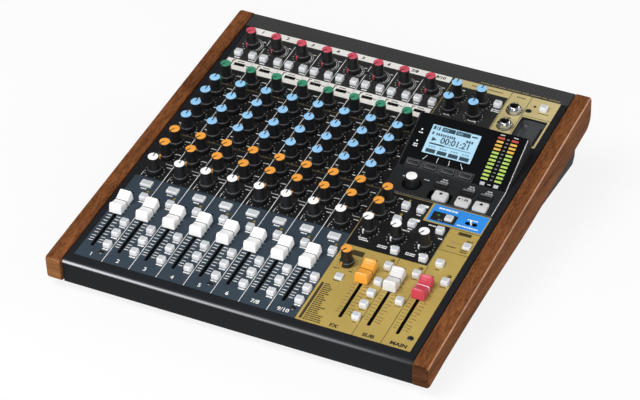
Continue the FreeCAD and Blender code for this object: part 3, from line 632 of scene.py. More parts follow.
# painted areas of the deck, later ones over earlier ones
deckAreas = [
    (6.5, 207.2, 11.0, 121.0, "slate"),
    (6.5, 207.2, 121.0, 283.5, "black"),
    (6.5, 261.5, 283.5, 338.8, "charcoal"),
    # the rear strip, in its painted sheen
    (1.0, 314.0, 348.0, 366.0, "stripGrey"),
    (208.4, 280.8, 109.3, 183.2, "black"),
    (207.4, 307.6, 10.8, 108.8, "gold"),
    (281.6, 307.6, 108.8, 159.4, "gold"),
    (255.6, 307.6, 160.0, 184.0, "gold"),
    (257.6, 306.6, 161.7, 183.2, "blue"),
    # the rear gold areas, in the painted sheen
    (207.6, 307.6, 338.6, 348.0, "goldPale"),
    (261.6, 307.6, 283.0, 348.0, "goldPale"),
    (282.2, 305.9, 283.0, 319.4, "charcoal"),
]
deckAreas += [(column(n) - 3.6, column(n) + 7.2, 290.1, 294.3, "black") for n in range(8)]


def paintName(face):
    middle = face.calc_center_bounds()
    lean = math.degrees(math.acos(max(-1.0, min(1.0, face.normal.z))))
    # the front face takes the apron finish, a darker copy of the border powder as painted shade
    name = "apron" if face.normal.y < -0.9 else "border"
    # bands of the front fold take the painted highlight
    if face.normal.y < -0.2 and middle.z > -deckSheet["bend"]:
        for paintedHighlight, start, stop in (("foldSide", *deckSheet["halfPaintedHighlight"]), ("fold", *deckSheet["paintedHighlight"])):
            name = paintedHighlight if start < lean < stop else name
    if face.normal.z >= 0.99 and middle.z >= -0.1:
        for u0, u1, v0, v1, area in deckAreas:
            name = area if u0 < middle.x < u1 and v0 < middle.y < v1 else name
    return name


def makeDeck():
    outline = sheetSide(0.0) + sheetSide(deckSheet["thickness"])[::-1]
    ends = (console["width"] - deckSheet["gap"], deckSheet["gap"])
    sheet = skin(bmesh.new(), [[(u, v, w) for v, w in outline] for u in ends])
    mesh = carved(meshOf(sheet, "deckSheet"), "deckSheet", deckCutters())
    bm = bmesh.new()
    bm.from_mesh(mesh)
    cuts = {(0, u) for area in deckAreas for u in area[:2]} | {(1, v) for area in deckAreas for v in area[2:4]}
    for axis, at in sorted(cuts):
        across = Vector((1 - axis, axis, 0))
        every = bm.verts[:] + bm.edges[:] + bm.faces[:]
        bmesh.ops.bisect_plane(bm, geom=every, plane_co=across * at, plane_no=across, dist=0.0005)
    names = ["border", "fold", "foldSide", "apron"] + sorted({area[4] for area in deckAreas})
    for face in bm.faces:
        face.material_index = names.index(paintName(face))
    painted = meshOf(bm, "deck", *names)
    finishPiece("deckSheetPainted", painted, deckPlace, "console", ["deck_panel"])


makeDeck()
print("deck ready")

ink = {"low": 0.02, "high": 0.045, "over": 0.03}  # a print over a print is lifted by "over"


def flatBar(bm, u0, u1, v0, v1, lift=0.0):
    plate(bm, u0, u1, v0, v1, ink["low"] + lift, ink["high"] + lift)


def upright(bm, u, v0, v1, line, lift=0.0):
    flatBar(bm, u - line / 2, u + line / 2, v0, v1, lift)


def level(bm, u0, u1, v, line, lift=0.0):
    flatBar(bm, u0, u1, v - line / 2, v + line / 2, lift)


def inkPad(bm, u, v, width, depth, corner, steps=3):
    block(bm, u, v, width, depth, corner, ink["low"], ink["high"], steps)


# a caption too small to read: a few strokes of uneven length, as it looks from where one stands
def smallCaption(bm, u, v, width, height=1.15, strokes=4, lift=0.0):
    step = width / strokes
    for i in range(strokes):
        shrink = (0.12, 0.22, 0.08, 0.18, 0.14)[i % 5]
        start = u - width / 2 + i * step
        flatBar(bm, start, start + step * (1 - shrink), v - height / 2, v + height / 2, lift)


def captions(bm, rows, height, strokeWidth):
    for u, v, width in rows:
        smallCaption(bm, u, v, width, height, max(2, int(width / strokeWidth)))


# the two pale bands: the numbers stand on one, the mode switches slide in windows of the other
def bandPrinting():
    bm = bmesh.new()
    flatBar(bm, 7.4, 205.6, 339.2, 347.4)
    for n in range(8):
        c = column(n)
        start = 7.6 if n == 0 else c - 12.1
        stop = c + 12.1 if n < 7 else 205.6
        left, right = c + controls["modeOffset"] - 5.2, c + controls["modeOffset"] + 5.2
        flatBar(bm, start, left, 284.0, 298.8)
        flatBar(bm, right, stop, 284.0, 298.8)
        flatBar(bm, left, right, 284.0, 290.2)
        flatBar(bm, left, right, 294.2, 298.8)
    return meshOf(bm, "bandPrinting", "inkBand")


def whitePrinting():
    bm = bmesh.new()
    keyRows = (controls["muteRow"],) + controls["assignRows"]
    ticks = [(4.4, 11.4, 142.8, 0.45), (3.0, 4.6, controls["muteRow"], 0.4)]
    ticks += [(2.6, 4.7, row + up, 0.35) for row, up in zip(controls["assignRows"], (1.5, 0.0, 1.5))]
    words = [(9.6, 138.8, 4.6, 0.9, 3), (controls["recOffset"], 106.8, 5.4, 1.3, 3), (9.2, 257.2, 4.8, 1.0, 4)]
    words += [(8.8, 176.4, 4.6, 1.0, 3), (8.8, 157.8, 4.6, 1.0, 3), (9.0, 330.4, 3.0, 1.0, 2)]
    words += [(9.0, 276.6, 4.4, 1.0, 3)]
    words += [(controls["keyOffset"] + 0.4, row - 5.0, 5.8, 1.4, 4) for row in keyRows]
    words += [(offset + 1.0, 301.2, 5.2, 1.2, 4) for offset in controls["inputOffsets"]]
    for row in controls["blueRows"]:
        words += [(-9.2, row + 5.4, 3.0, 0.9, 2), (9.6, row - 1.2, 2.8, 0.9, 2)]
    for n in range(8):
        c = column(n)
        for u0, u1, v, line in ticks:
            level(bm, c + u0, c + u1, v, line)
        for u, *rest in words:
            smallCaption(bm, c + u, *rest)
        upright(bm, c - 8.8, 121.6, 127.2, 0.4)
        if n < 7:
            upright(bm, c + 12.5, 11.0, 335.0, 0.5)
    for u in (237.8, 262.8):
        for v in (117.4, 115.4):
            smallCaption(bm, u, v, 8.4, 1.1, 5)
    inkPad(bm, 245.3, 119.4, 2.6, 2.6, 0.3)
    inkPad(bm, 270.5, 119.4, 2.6, 2.6, 0.3)
    inkPad(bm, 250.3, 176.6, 7.4, 3.0, 0.4)
    inkPad(bm, 250.3, 157.4, 7.4, 3.0, 0.4)
    rows = [(218.5, 120.2, 8.0), (220.3, 118.0, 8.6), (245.1, 142.2, 12.4), (278.3, 143.6, 4.0)]
    rows += [(236.9, 164.8, 5.6), (236.9, 145.6, 5.6), (250.3, 164.4, 4.4), (250.3, 145.4, 4.4)]
    rows += [(266.1, 156.4, 7.0), (228.5, 178.0, 4.4), (228.5, 159.2, 4.4), (220.0, 333.8, 5.6)]
    rows += [(220.0, 297.0, 5.2), (244.0, 297.0, 8.0), (257.6, 319.0, 7.6), (257.6, 316.8, 7.6)]
    captions(bm, rows, 1.15, 1.5)
    smallCaption(bm, 294.5, 175.0, 9.6, 1.2, 5)
    smallCaption(bm, 293.6, 165.2, 19.0, 1.3, 9)
    smallCaption(bm, 271.0, 179.6, 17.0, 2.0, 6)
    smallCaption(bm, 272.0, 165.4, 10.0, 1.0, 5)
    return meshOf(bm, "whitePrinting", "inkWhite")


def goldPrinting():
    bm = bmesh.new()
    for u0, u1, v, line in ((6.0, 207.2, 262.0, 0.3), (6.0, 207.2, 183.6, 0.3), (219.8, 256.0, 183.4, 0.7)):
        level(bm, u0, u1, v, line)
    for u, v0, v1, line in ((207.8, 109.0, 183.5, 0.7), (207.8, 283.5, 338.6, 0.7), (281.2, 109.0, 159.6, 0.6)):
        upright(bm, u, v0, v1, line)
    start = 231.0
    for width in (9.0, 5.4, 7.2, 12.6, 6.4, 9.8, 4.6, 11.0):
        captions(bm, [(start + width / 2, 350.6, width)], 1.1, 1.6)
        start += width + 1.3
    return meshOf(bm, "goldPrinting", "inkGold")


# the gold frame's loose end, which curls inwards beside the card recess
def goldHook():
    bm = bmesh.new()
    inkPad(bm, 306.0, 283.3, 3.0, 1.9, 0.95, 6)
    return meshOf(bm, "goldHook", "goldPale")


def darkPrinting():
    bm = bmesh.new()
    for u, v0, v1 in ((257.2, 10.8, 108.8), (282.2, 10.8, 108.8), (262.4, 283.0, 348.0), (281.0, 283.0, 348.0)):
        upright(bm, u, v0, v1, 0.5)
    level(bm, 282.0, 307.6, 131.6, 0.5)
    level(bm, 281.0, 307.6, 321.4, 0.5)
    level(bm, 292.6, 297.2, 143.5, 0.3)
    flatBar(bm, 209.6, 212.0, 13.0, 58.6)
    flatBar(bm, 217.4, 228.2, 98.0, 104.2)
    inkPad(bm, 295.2, 156.0, 11.4, 3.8, 0.3)
    listWidths = [4.6, 6.0, 8.4, 7.6, 6.6, 8.6, 5.8, 6.8, 9.0, 7.0]
    listWidths += [7.4, 7.8, 12.6, 9.2, 8.6, 9.8, 15.0, 14.2, 15.4, 15.8]
    lines = [(213.0 + width / 2, 57.6 - i * 2.32, width) for i, width in enumerate(listWidths)]
    captions(bm, lines, 1.25, 2.0)
    for c in (column(9), column(10), column(11)):
        smallCaption(bm, c + 7.9, 89.8, 5.6, 1.2, 4)
        lathe(bm, c + 8.0, controls["lampRow"], [(1.9, ink["low"]), (1.9, ink["high"])], 16)
        for v in (66.4, 61.8, 57.4, 53.2, 45.8, 37.6, 34.4, 31.2, 76.4, 81.6):
            smallCaption(bm, c + 2.4, v, 2.4, 0.7, 2)
    rows = [(253.0, 54.9, 5.4), (253.0, 40.4, 5.4), (253.0, 25.0, 3.8), (278.0, 55.2, 5.4)]
    rows += [(220.3, 64.4, 6.4), (212.7, 78.4, 3.0), (226.3, 78.4, 3.0), (290.4, 107.8, 4.6)]
    rows += [(290.2, 138.0, 8.0), (302.0, 137.4, 6.4), (302.0, 135.0, 6.0), (302.4, 149.2, 6.0)]
    rows += [(298.0, 329.2, 9.6), (231.0, 343.4, 11.0), (248.0, 343.4, 14.0), (272.4, 343.4, 8.6)]
    captions(bm, rows + [(272.8, 313.2, 3.0)], 1.2, 1.6)
    return meshOf(bm, "darkPrinting", "inkBrown")


def blackPrinting():
    bm = bmesh.new()
    over = ink["over"]
    for n in range(8):
        c = column(n)
        upright(bm, c - 6.0, 286.4, 297.6, 1.0, over)
        level(bm, c - 6.5, c - 3.8, 297.2, 0.9, over)
        level(bm, c - 6.5, c - 3.8, 286.8, 0.9, over)
        smallCaption(bm, c + 1.8, 296.2, 6.4, 1.1, 4, over)
        smallCaption(bm, c + 9.4, 292.4, 3.2, 1.0, 3, over)
    flatBar(bm, 260.0, 281.8, 163.4, 174.8)
    return meshOf(bm, "blackPrinting", "inkBlack")


def letterPrinting():
    pieces = []
    for n, text in enumerate(("1", "2", "3", "4", "5", "6", "7/8", "9/10")):
        pieces.append(lettering(text, column(n) - 0.1, 16.2, 6.0, "inkWhite", 0.04, -0.05, 0.1))
        pieces.append(lettering(text, column(n) + 1.0, 343.3, 5.0, "inkBlack", 0.07, 0.08, 0.2, 1.05))
    for u, text in ((239.6, "FX"), (269.8, "SUB"), (296.0, "MAIN")):
        pieces.append(lettering(text, u, 14.8, 5.4, "inkBlack", 0.04, 0.0, 0.2, 1.1))
    return pieces


sevenOClock = 150.0
stripKnobs = [
    ("gain_knob", controls["redRow"], "capRed", sevenOClock),
    ("comp_knob", controls["greenRow"], "capGreen", sevenOClock),
    *[
        (name + "_knob", row, "capBlue", 0.0)
        for name, row in zip(("eq_high", "eq_mid_freq", "eq_mid", "eq_low"), controls["blueRows"])
    ],
    ("aux_1_knob", controls["orangeRows"][0], "capOrange", sevenOClock),
    ("aux_2_knob", controls["orangeRows"][1], "capOrange", sevenOClock),
    ("pan_knob", controls["panRow"], "capWhite", 0.0),
]
masterKnobs = [
    ("main_aux_1_knob", column(8), 170.4, "capOrange"),
    ("main_aux_2_knob", column(8), 151.6, "capOrange"),
    ("phones_1_knob", column(8), 130.0, "capWhite"),
    ("phones_2_knob", column(9), 130.0, "capWhite"),
    ("monitor_knob", column(10), 130.0, "capWhite"),
    ("fx_knob", column(8), 86.0, "capOrange"),
]
faderScale = {
    "rows": (31.8, 34.8, 38.0, 42.3, 46.0, 50.0, 54.0, 58.0, 62.0, 65.6, 72.6, 77.4, 82.6),
    "reach": 3.9,
}
# the dots round a knob run from seven o'clock to five o'clock, and a larger one stands at each end
dialDots = {"height": 0.03, "dot": (0.95, 0.95, 0.02), "end": (1.3, 1.6, 0.02), "arc": (0.5, 1.0, 0.02)}


def scalePrinting():
    pieces = []
    height = dialDots["height"]
    for _, number, _ in faders:
        tone, line = ("inkWhite", 0.7) if number < 8 else ("inkBrown", 0.45)
        points = [(slotU(number) + side, row, height) for row in faderScale["rows"] for side in (-4.3, 4.3)]
        pieces.append(bars(points, 1, 1, (faderScale["reach"], line, 0.02), tone))
    white = [(column(n), row, height) for n in range(8) for _, row, _, _ in stripKnobs]
    white += [(u, v, height) for _, u, v, _ in masterKnobs[:-1]] + [(u, v, height) for u, v in masterEqSeats]
    brown = [(*masterKnobs[-1][1:3], height)]
    for tone, points in (("inkWhite", white), ("inkBrown", brown)):
        pieces.append(dots(points, 13, 8.3, -60.0, 300.0, dialDots["dot"], tone))
        pieces.append(dots(points, 2, 9.0, -62.0, 304.0, dialDots["end"], tone))
    gains = [(column(n), controls["redRow"], height) for n in range(8)]
    for radius in (8.4, 10.0):
        pieces.append(dots(gains, 44, radius, -60.0, 190.0, dialDots["arc"], "inkWhite"))
    return pieces


printed = [bandPrinting(), whitePrinting(), goldPrinting(), goldHook(), darkPrinting(), blackPrinting()]
printed += letterPrinting() + scalePrinting()
finishPiece("deckPrinting", joined("deckPrinting", printed), deckPlace, "console")
print("printing ready")

knobShape = {
    "body": (
        *((5.3, 0.5), (6.0, 0.55), (6.15, 0.9), (6.1, 2.4), (5.95, 4.1), (5.85, 4.4), (5.6, 4.55)),
        *((5.1, 4.6), (4.95, 4.8), (4.85, 5.4), (4.6, 15.6), (4.56, 16.3), (4.4, 16.75)),
    ),
    "ribbedRings": (9, 10),
    "ribs": 0.12,
    "shaft": ((2.95, -4.8), (2.95, 0.6)),
    "rim": ((5.9, 4.1), (6.0, 4.3), (5.9, 4.62), (5.62, 4.72), (5.5, 4.5)),
    "cap": ((4.35, 16.6), (4.56, 16.9), (4.5, 17.3), (4.25, 17.48)),
    "mark": ((5.3, 4.78), (5.95, 4.7), (6.08, 4.3), (6.18, 2.4), (6.22, 0.8)),
    "segments": 48,
}


def knobNotch():
    bm = block(bmesh.new(), 0, 2.2, 1.0, 4.4, 0.2, 17.3, 17.53)
    return plate(bm, -0.5, 0.5, 4.2, 4.68, 16.0, 17.5)


# the coloured line down the skirt
def knobMark():
    half, thick = 0.8, 0.5
    corners = ((-half, 0.0), (half, 0.0), (half, thick), (-half, thick))
    rings = [[(u, reach - inwards, height) for u, inwards in corners] for reach, height in knobShape["mark"]]
    return skin(bmesh.new(), rings)


def dressKnobs(seats, colour):
    s = knobShape
    body = lathe(bmesh.new(), 0, 0, s["body"], s["segments"], s["ribs"], s["ribbedRings"])
    return [
        instances(seats, lathe(body, 0, 0, s["shaft"], 12), "knob"),
        instances(seats, lathe(bmesh.new(), 0, 0, s["rim"], s["segments"], tube=True), "knobRim"),
        instances(seats, lathe(bmesh.new(), 0, 0, s["cap"], s["segments"]), colour),
        instances(seats, knobNotch(), "dark"),
        instances(seats, knobMark(), colour),
    ]


def makeKnob(name, seat, colour):
    mesh = joined(name, dressKnobs([seat], colour))
    finishPiece(name + "_ribbed", mesh, deckPlace, name, [name])


fixedKnobs = []
for _, row, colour, turn in stripKnobs:
    fixedKnobs += dressKnobs([(column(n), row, 0.0, turn) for n in range(1, 8)], colour)
fixedKnobs += dressKnobs([(u, v, 0.0, 0.0) for u, v in masterEqSeats], "capBlue")
mesh = joined("stripKnobs", fixedKnobs)
finishPiece("stripKnobsRibbed", mesh, deckPlace, "console", ["strip_knobs"])
for name, row, colour, turn in stripKnobs:
    makeKnob("ch1_" + name, (column(0), row, 0.0, turn), colour)
for name, u, v, colour in masterKnobs:
    makeKnob(name, (u, v, 0.0, sevenOClock), colour)
print("knobs ready")

keyShape = {
    "tall": {
        "size": (6.9, 6.6, 1.1),
        "levels": ((-3.0, 0.1), (0.4, 0.0), (3.3, 0.15), (3.9, 0.35), (4.2, 0.75), (4.3, 1.3)),
        "face": (4.9, 4.5),
    },
    "low": {
        "size": (6.9, 6.6, 0.6),
        "levels": ((-3.0, 0.05), (1.4, 0.1), (1.9, 0.3), (2.1, 0.8)),
        "face": (4.9, 4.5),
    },
    "rec": {
        "size": (10.8, 7.2, 0.9),
        "levels": ((-3.0, 0.05), (1.3, 0.1), (1.8, 0.45), (2.0, 1.1)),
        "face": (8.2, 4.6),
    },
}


# the key and the duller flat on top of it
def keysAt(name, seats, shape):
    crest = shape["levels"][-1][0]
    body = pad(bmesh.new(), 0, 0, *shape["size"], shape["levels"])
    face = block(bmesh.new(), 0, 0, *shape["face"], 0.7, crest - 0.3, crest + 0.04)
    return joined(name, [instances(seats, body, "key"), instances(seats, face, "keyFace")])


keyPlaces = {
    "input_buttons": [(offset, controls["inputRow"]) for offset in controls["inputOffsets"]],
    "rec_buttons": [(controls["recOffset"], controls["recRow"])],
    "mute_buttons": [(controls["keyOffset"], controls["muteRow"])],
    "assign_buttons": [(controls["keyOffset"], row) for row in controls["assignRows"]],
}
for name, places in keyPlaces.items():
    seats = [(column(n) + offset, row) for n in range(8) for offset, row in places]
    mesh = keysAt(name, seats, keyShape["rec" if name == "rec_buttons" else "tall"])
    finishPiece(name + "_moulded", mesh, deckPlace, name, [name])
tall = keysAt("tallKeys", masterKeys, keyShape["tall"])
low = keysAt("lowKeys", lowKeys, keyShape["low"])
mesh = joined("masterKeys", [tall, low])
finishPiece("master_buttons_moulded", mesh, deckPlace, "master_buttons", ["master_buttons"])
print("keys ready")

faderShape = {
    "width": 11.4,
    "shift": -0.25,
    "half": 11.2,
    "bottom": 1.1,
    "crest": 10.5,
    "crestReach": 9.1,
    "waist": 7.1,
    "scoopSteps": 10,
    "topInset": 0.2,
    "line": 0.42,
    "ribs": (2.4, 4.3, 6.2),
    # across its width, how far a line along the cap is drawn in from the side and lowered from the crest
    "shoulder": ((0.0, 1.5), (0.25, 0.75), (0.75, 0.25), (1.5, 0.0)),
}


def scoopHeight(v):
    s = faderShape
    return s["waist"] + (s["crest"] - s["waist"]) * abs(v / s["crestReach"]) ** 1.5


def capOutline():
    s = faderShape
    half, crest, reach, steps = s["half"], s["crest"], s["crestReach"], s["scoopSteps"]
    points = [(-half, s["bottom"]), (0.9 - half, crest - 1.6), (1.3 - half, crest - 0.5)]
    points.append((-reach, crest - 0.05))
    scoop = [i * reach / steps for i in range(1 - steps, steps)]
    points += [(v, scoopHeight(v)) for v in scoop]
    points.append((reach, crest - 0.05))
    return points + [(half - 1.2, crest - 0.5), (half - 0.8, crest - 1.6), (half, s["bottom"])]


def shoulderPoint(w, drawIn, lower):
    s = faderShape
    rise = (w - s["bottom"]) / (s["crest"] - s["bottom"])
    return s["width"] / 2 - s["topInset"] * rise - drawIn, w - lower * min(1.0, rise * 1.6)


def faderCap(ribbed):
    s = faderShape
    rings = []
    for side, steps in ((-1, s["shoulder"]), (1, s["shoulder"][::-1])):
        for step in steps:
            points = [(v, shoulderPoint(w, *step)) for v, w in capOutline()]
            rings.append([(s["shift"] + side * u, v, w) for v, (u, w) in points])
    bm = skin(bmesh.new(), rings)
    reach = s["width"] / 2 - 1.6
    for v in s["ribs"] if ribbed else ():
        w = scoopHeight(v)
        plate(bm, s["shift"] - reach, s["shift"] + reach, v - 0.3, v + 0.3, w - 0.6, w + 0.3)
    return bm


# the line over the waist and down both sides of a cap
def faderLine():
    s = faderShape
    bm = bmesh.new()
    proud, thick = 0.04, 0.6
    across = [(s["width"] / 2 + proud, 1.6)]
    for step in s["shoulder"]:
        u, w = shoulderPoint(s["waist"], *step)
        across.append((u + proud, w + proud))
    outer = [(-u, w) for u, w in across] + across[::-1]
    inner = [(u - math.copysign(thick, u), min(w, s["waist"] - 0.5)) for u, w in outer]
    for i in range(len(outer) - 1):
        quad = [outer[i], outer[i + 1], inner[i + 1], inner[i]]
        skin(bm, [[(u + s["shift"], v, w) for u, w in quad] for v in (-s["line"], s["line"])])
    return bm


for name, number, colour in faders:
    seat = [(slotU(number), controls["faderPark"], 0.0)]
    parts = [
        instances(seat, faderCap(number > 7), colour),
        instances(seat, faderLine(), "capWhite" if name == "fader_main" else "dark"),
        instances(seat, block(bmesh.new(), 0, 0, 1.2, 5.0, 0.3, -9.0, 2.4), "nickel"),
    ]
    finishPiece(name + "_cap", joined(name, parts), deckPlace, name, [name])
print("faders ready")

woodShape = {
    "thickness": 14.0,
    "round": 2.4,
    "steps": 5,
    "paintedHighlightRings": (5, 6),
    "front": -3.0,
    "frontTopRadius": 3.2,
    "frontFoot": -22.6,
    "frontFootRadius": 4.2,
    "back": 369.0,
    "backTopRadius": 5.0,
    "backFoot": -31.4,
    "backFootRadius": 13.0,
    "top": 1.2,
    "innerEdge": 0.6,
    "belly": [(221.0, -31.5), (198.0, -30.6), (168.0, -28.4), (137.0, -26.0), (87.0, -23.5), (36.0, -22.0)],
}


def cheekOutline():
    s = woodShape
    frontTop, backTop = s["frontTopRadius"], s["backTopRadius"]
    frontFoot, backFoot = s["frontFootRadius"], s["backFootRadius"]
    points = arcPoints(s["front"] + frontTop, s["top"] - frontTop, frontTop, 180, 90, 5)
    points += arcPoints(s["back"] - backTop, s["top"] - backTop, backTop, 90, 0, 6)
    points += arcPoints(s["back"] - backFoot, s["backFoot"] + backFoot, backFoot, 0, -90, 10)
    points += s["belly"]
    return points + arcPoints(s["front"] + frontFoot, s["frontFoot"] + frontFoot, frontFoot, -90, -180, 6)


def offsetOutline(points, distance):
    moved = []
    for i, point in enumerate(points):
        here = Vector(point)
        first = (here - Vector(points[i - 1])).normalized()
        second = (Vector(points[(i + 1) % len(points)]) - here).normalized()
        inward = Vector(((first + second).y, -(first + second).x)).normalized()
        reach = distance / max(0.5, math.sqrt((1 + first.dot(second)) / 2))
        moved.append(here + inward * reach)
    return moved


def makeCheek(name, node, inner, outward, endFinish):
    s = woodShape
    edge = s["innerEdge"]
    levels = [(0.0, edge), (edge * 0.3, edge * 0.3), (edge, 0.0)]  # how far outwards, how far drawn in
    for i in range(s["steps"] + 1):
        turn = math.radians(90 * i / s["steps"])
        levels.append((s["thickness"] - s["round"] * (1 - math.sin(turn)), s["round"] * (1 - math.cos(turn))))
    outline = cheekOutline()
    rings = [[(inner + outward * out, v, w) for v, w in offsetOutline(outline, inset)] for out, inset in levels]
    # the middle rings of the outer rounding, facing up, take the painted highlight
    slots = [int(step in s["paintedHighlightRings"]) for step in range(len(rings))]
    bm = skin(bmesh.new(), rings, slots)
    bmesh.ops.recalc_face_normals(bm, faces=bm.faces)
    for face in bm.faces:
        if face.normal.y < -0.7:
            face.material_index = 2
        elif face.normal.z < 0.3:
            face.material_index = 0
    mesh = meshOf(bm, name, "wood", "woodEdge", endFinish)
    finishPiece(name, mesh, deckPlace, "console", [node], smooth=50.0)


# the left end takes the painted lit end grain, the right end the painted shaded one
makeCheek("leftCheek", "left_wood_side", 0.0, -1, "woodEndLeft")
makeCheek("rightCheek", "right_wood_side", console["width"], 1, "woodEndRight")
print("wood ready")

housingShape = {
    "left": 207.4,
    "right": 307.6,
    "front": 184.0,
    "face": 56.0,
    "back": 274.5,
    "ends": ((0.0, 0.45), (0.25, 0.12), (0.7, 0.0)),  # how far from a side, how far lowered there
    "lens": (208.9, 306.0, 0.8, 56.3),
    "shelf": (213.5, 275.5, 10.0),
    "lcd": (223.0, 267.5, 18.0, 47.5),
    "meters": (284.5, 296.8),
    "meterStart": 8.5,
    "meterPitch": 3.8,
    "meterBar": (6.0, 2.05, 0.5),
    "functionKeys": [(220.5, 5.5), (236.5, 5.5), (252.5, 5.5), (268.5, 5.5)],
    "edgeHighlight": (185.0, 54.6),
}
consoleKeys = {
    "menu": ((11.2, 6.1, 0.9), ((-3.0, 0.1), (2.6, 0.1), (3.1, 0.35), (3.3, 0.9))),
    "transport": ((12.6, 10.8, 1.5), ((-3.0, 0.1), (2.7, 0.1), (3.2, 0.35), (3.4, 1.0))),
    "function": ((11.2, 5.2, 0.7), ((-5.0, 0.1), (0.5, 0.1), (0.85, 0.3), (0.95, 0.8))),
}


def housingBody():
    s = housingShape
    front, kink, lip = s["front"], console["kink"], console["lip"]
    crestV = kink + s["face"] * math.cos(slope)
    crestW = lip + s["face"] * math.sin(slope)
    outline = [(front, 0.0), (front + 0.1, lip - 0.3), (front + 0.5, lip), (kink - 1.5, lip)]
    outline += [(kink + 1.4, lip + 0.5), (crestV - 0.9, crestW - 0.3), (crestV, crestW - 0.15)]
    outline += [(crestV + 0.9, crestW - 0.7), (crestV + 1.8, crestW - 2.4), (s["back"], 0.0)]
    ends = [(s["left"] + along, lower) for along, lower in s["ends"]]
    ends += [(s["right"] - along, lower) for along, lower in s["ends"][::-1]]
    rings = [[(u, v, w - lower if w > 0.0 else w) for v, w in outline[::-1]] for u, lower in ends]
    return meshOf(skin(bmesh.new(), rings), "housing", "housing")


# the lens wraps round the shelf of the function keys
def lensOutline(gap):
    u0, u1, v0, v1 = housingShape["lens"]
    left, right, top = housingShape["shelf"]
    u0, u1, v0, v1 = u0 + gap, u1 - gap, v0 + gap, v1 - gap
    left, right, top = left - gap, right + gap, top + gap
    return [(u0, v0), (left, v0), (left, top), (right, top), (right, v0), (u1, v0), (u1, v1), (u0, v1)]


def housingCutters():
    seat = meshOf(prism(bmesh.new(), lensOutline(0.0), -1.25, 4.0), "lensSeat")
    u0, u1, v0, v1 = housingShape["lcd"]
    bm = plate(bmesh.new(), u0 - 0.4, u1 + 0.4, v0 - 0.4, v1 + 0.4, -8.0, 1.0)
    for u, v in housingShape["functionKeys"]:
        block(bm, u, v, 11.9, 5.9, 0.8, -6.0, 4.0)
    windows = meshOf(bm, "faceWindows")
    for mesh in (seat, windows):
        mesh.transform(faceTurn)
    u, v = transportKeys[0]
    well = meshOf(block(bmesh.new(), u - 0.6, v, 21.0, 12.2, 2.4, -1.0, 6.0), "stopWell")
    bm = lathe(bmesh.new(), *encoderSeat, ((8.3, -6.0), (8.8, 6.0)), 40)
    for u, v in menuKeys:
        block(bm, u, v, 12.0, 6.9, 1.0, -4.0, 6.0)
    for u, v in transportKeys:
        block(bm, u, v, 13.3, 11.5, 1.6, -4.0, 6.0)
    return seat, windows, well, meshOf(bm, "keyHoles")


def makeHousing():
    body = carved(housingBody(), "housingBody", *housingCutters())
    profile = ((9.6, 0.2), (9.6, -5.9), (3.4, -5.9), (3.4, -5.0), (8.4, -5.0), (8.6, 0.2))
    cup = meshOf(lathe(bmesh.new(), *encoderSeat, profile, 40, tube=True), "encoderCup", "housing")
    mesh = joined("housing", [body, cup])
    finishPiece("displayHousing", mesh, deckPlace, "console", ["display_housing"])


def makeLens():
    u0, u1, v0, v1 = housingShape["lcd"]
    pane = meshOf(prism(bmesh.new(), lensOutline(0.1), -1.2, -0.05), "lens", "lens")
    window = block(bmesh.new(), (u0 + u1) / 2, (v0 + v1) / 2, u1 - u0, v1 - v0, 0.5, -3.0, 3.0)
    mesh = carved(pane, "lens", meshOf(window, "lensWindow"))
    finishPiece("displayLens", mesh, facePlace, "console", ["display_lens"])


def makeDisplay():
    u0, u1, v0, v1 = housingShape["lcd"]
    top = -0.3
    crystals = (top - 0.03, top + 0.03)
    buttons = [225.8 + 10.3 * i for i in range(4)]
    dark = [(224.6, 226.6, 42.6, 46.2), (227.6, 228.4, 42.6, 46.2), (229.2, 230.6, 42.6, 46.2)]
    dark += [(232.4, 244.4, 42.4, 46.6), (245.2, 258.4, 42.4, 46.6), (259.6, 264.8, 43.8, 45.2)]
    dark += [(225.2, 226.8, 37.6, 40.2), (226.2, 240.0, 27.9, 29.3)]
    dark += [(229.0 + 2.0 * i, 230.3 + 2.0 * i, 37.4, 39.8) for i in range(9)]
    dark += [(256.6 + 2.3 * i, 258.2 + 2.3 * i, 37.4, 39.8) for i in range(3)]
    dark += [(u, u + 8.6, 19.4, 23.2) for u in buttons]
    pale = [(240.0, 264.4, 28.1, 29.1)]
    pale += [(u + start, u + start + 1.5, 24.6, 26.2) for u in buttons for start in (1.0, 3.4, 5.6)]
    words = [233.4 + 1.35 * i + 7.6 * (i // 4) for i in range(8)]
    glass = plate(bmesh.new(), u0 + 0.05, u1 - 0.05, v0 + 0.05, v1 - 0.05, -4.0, top - 0.05)
    darkShapes = plates(bmesh.new(), dark, *crystals)
    prism(darkShapes, [(227.0, 30.8), (231.4, 33.0), (227.0, 35.2)], *crystals)
    paleShapes = plates(bmesh.new(), pale, *crystals)
    plates(paleShapes, [(u, u + 0.9, 43.4, 45.6) for u in words], top, top + 0.05)
    pieces = [meshOf(glass, "lcdGlass", "lcd"), meshOf(darkShapes, "lcdInk", "lcdInk")]
    pieces.append(meshOf(paleShapes, "lcdPale", "lcdPale"))
    pieces.append(lettering("00:01:21", 248.4, 33.3, 8.6, "lcdInk", top, 0.0, 0.16, 0.92))
    finishPiece("lcdPicture", joined("lcd", pieces), facePlace, "console", ["lcd_module"])


def makeMeters():
    s = housingShape
    start, pitch, ladders = s["meterStart"], s["meterPitch"], s["meters"]
    middle = (sum(ladders) / 2,)
    low = -0.04
    pieces = []
    for first, count, tone in ((0, 8, "ledGreen"), (8, 3, "ledOrange"), (11, 1, "ledRed")):
        points = [(u, start + first * pitch, -0.22) for u in ladders]
        pieces.append(bars(points, count, pitch, s["meterBar"], tone))
    pieces.append(bars([(*middle, start, low)], 12, pitch, (2.2, 1.1, 0.04), "inkDim"))
    for columns, v, bar in (
        (ladders, 3.6, (4.2, 3.2, 0.04)),
        (ladders, 53.6, (4.0, 1.0, 0.04)),
        (middle, 3.6, (3.0, 0.8, 0.04)),
    ):
        pieces.append(bars([(u, v, low) for u in columns], 1, 1, bar, "inkGrey"))
    mesh = joined("meters", pieces)
    finishPiece("meterLadders", mesh, facePlace, "console", ["meter_leds"])


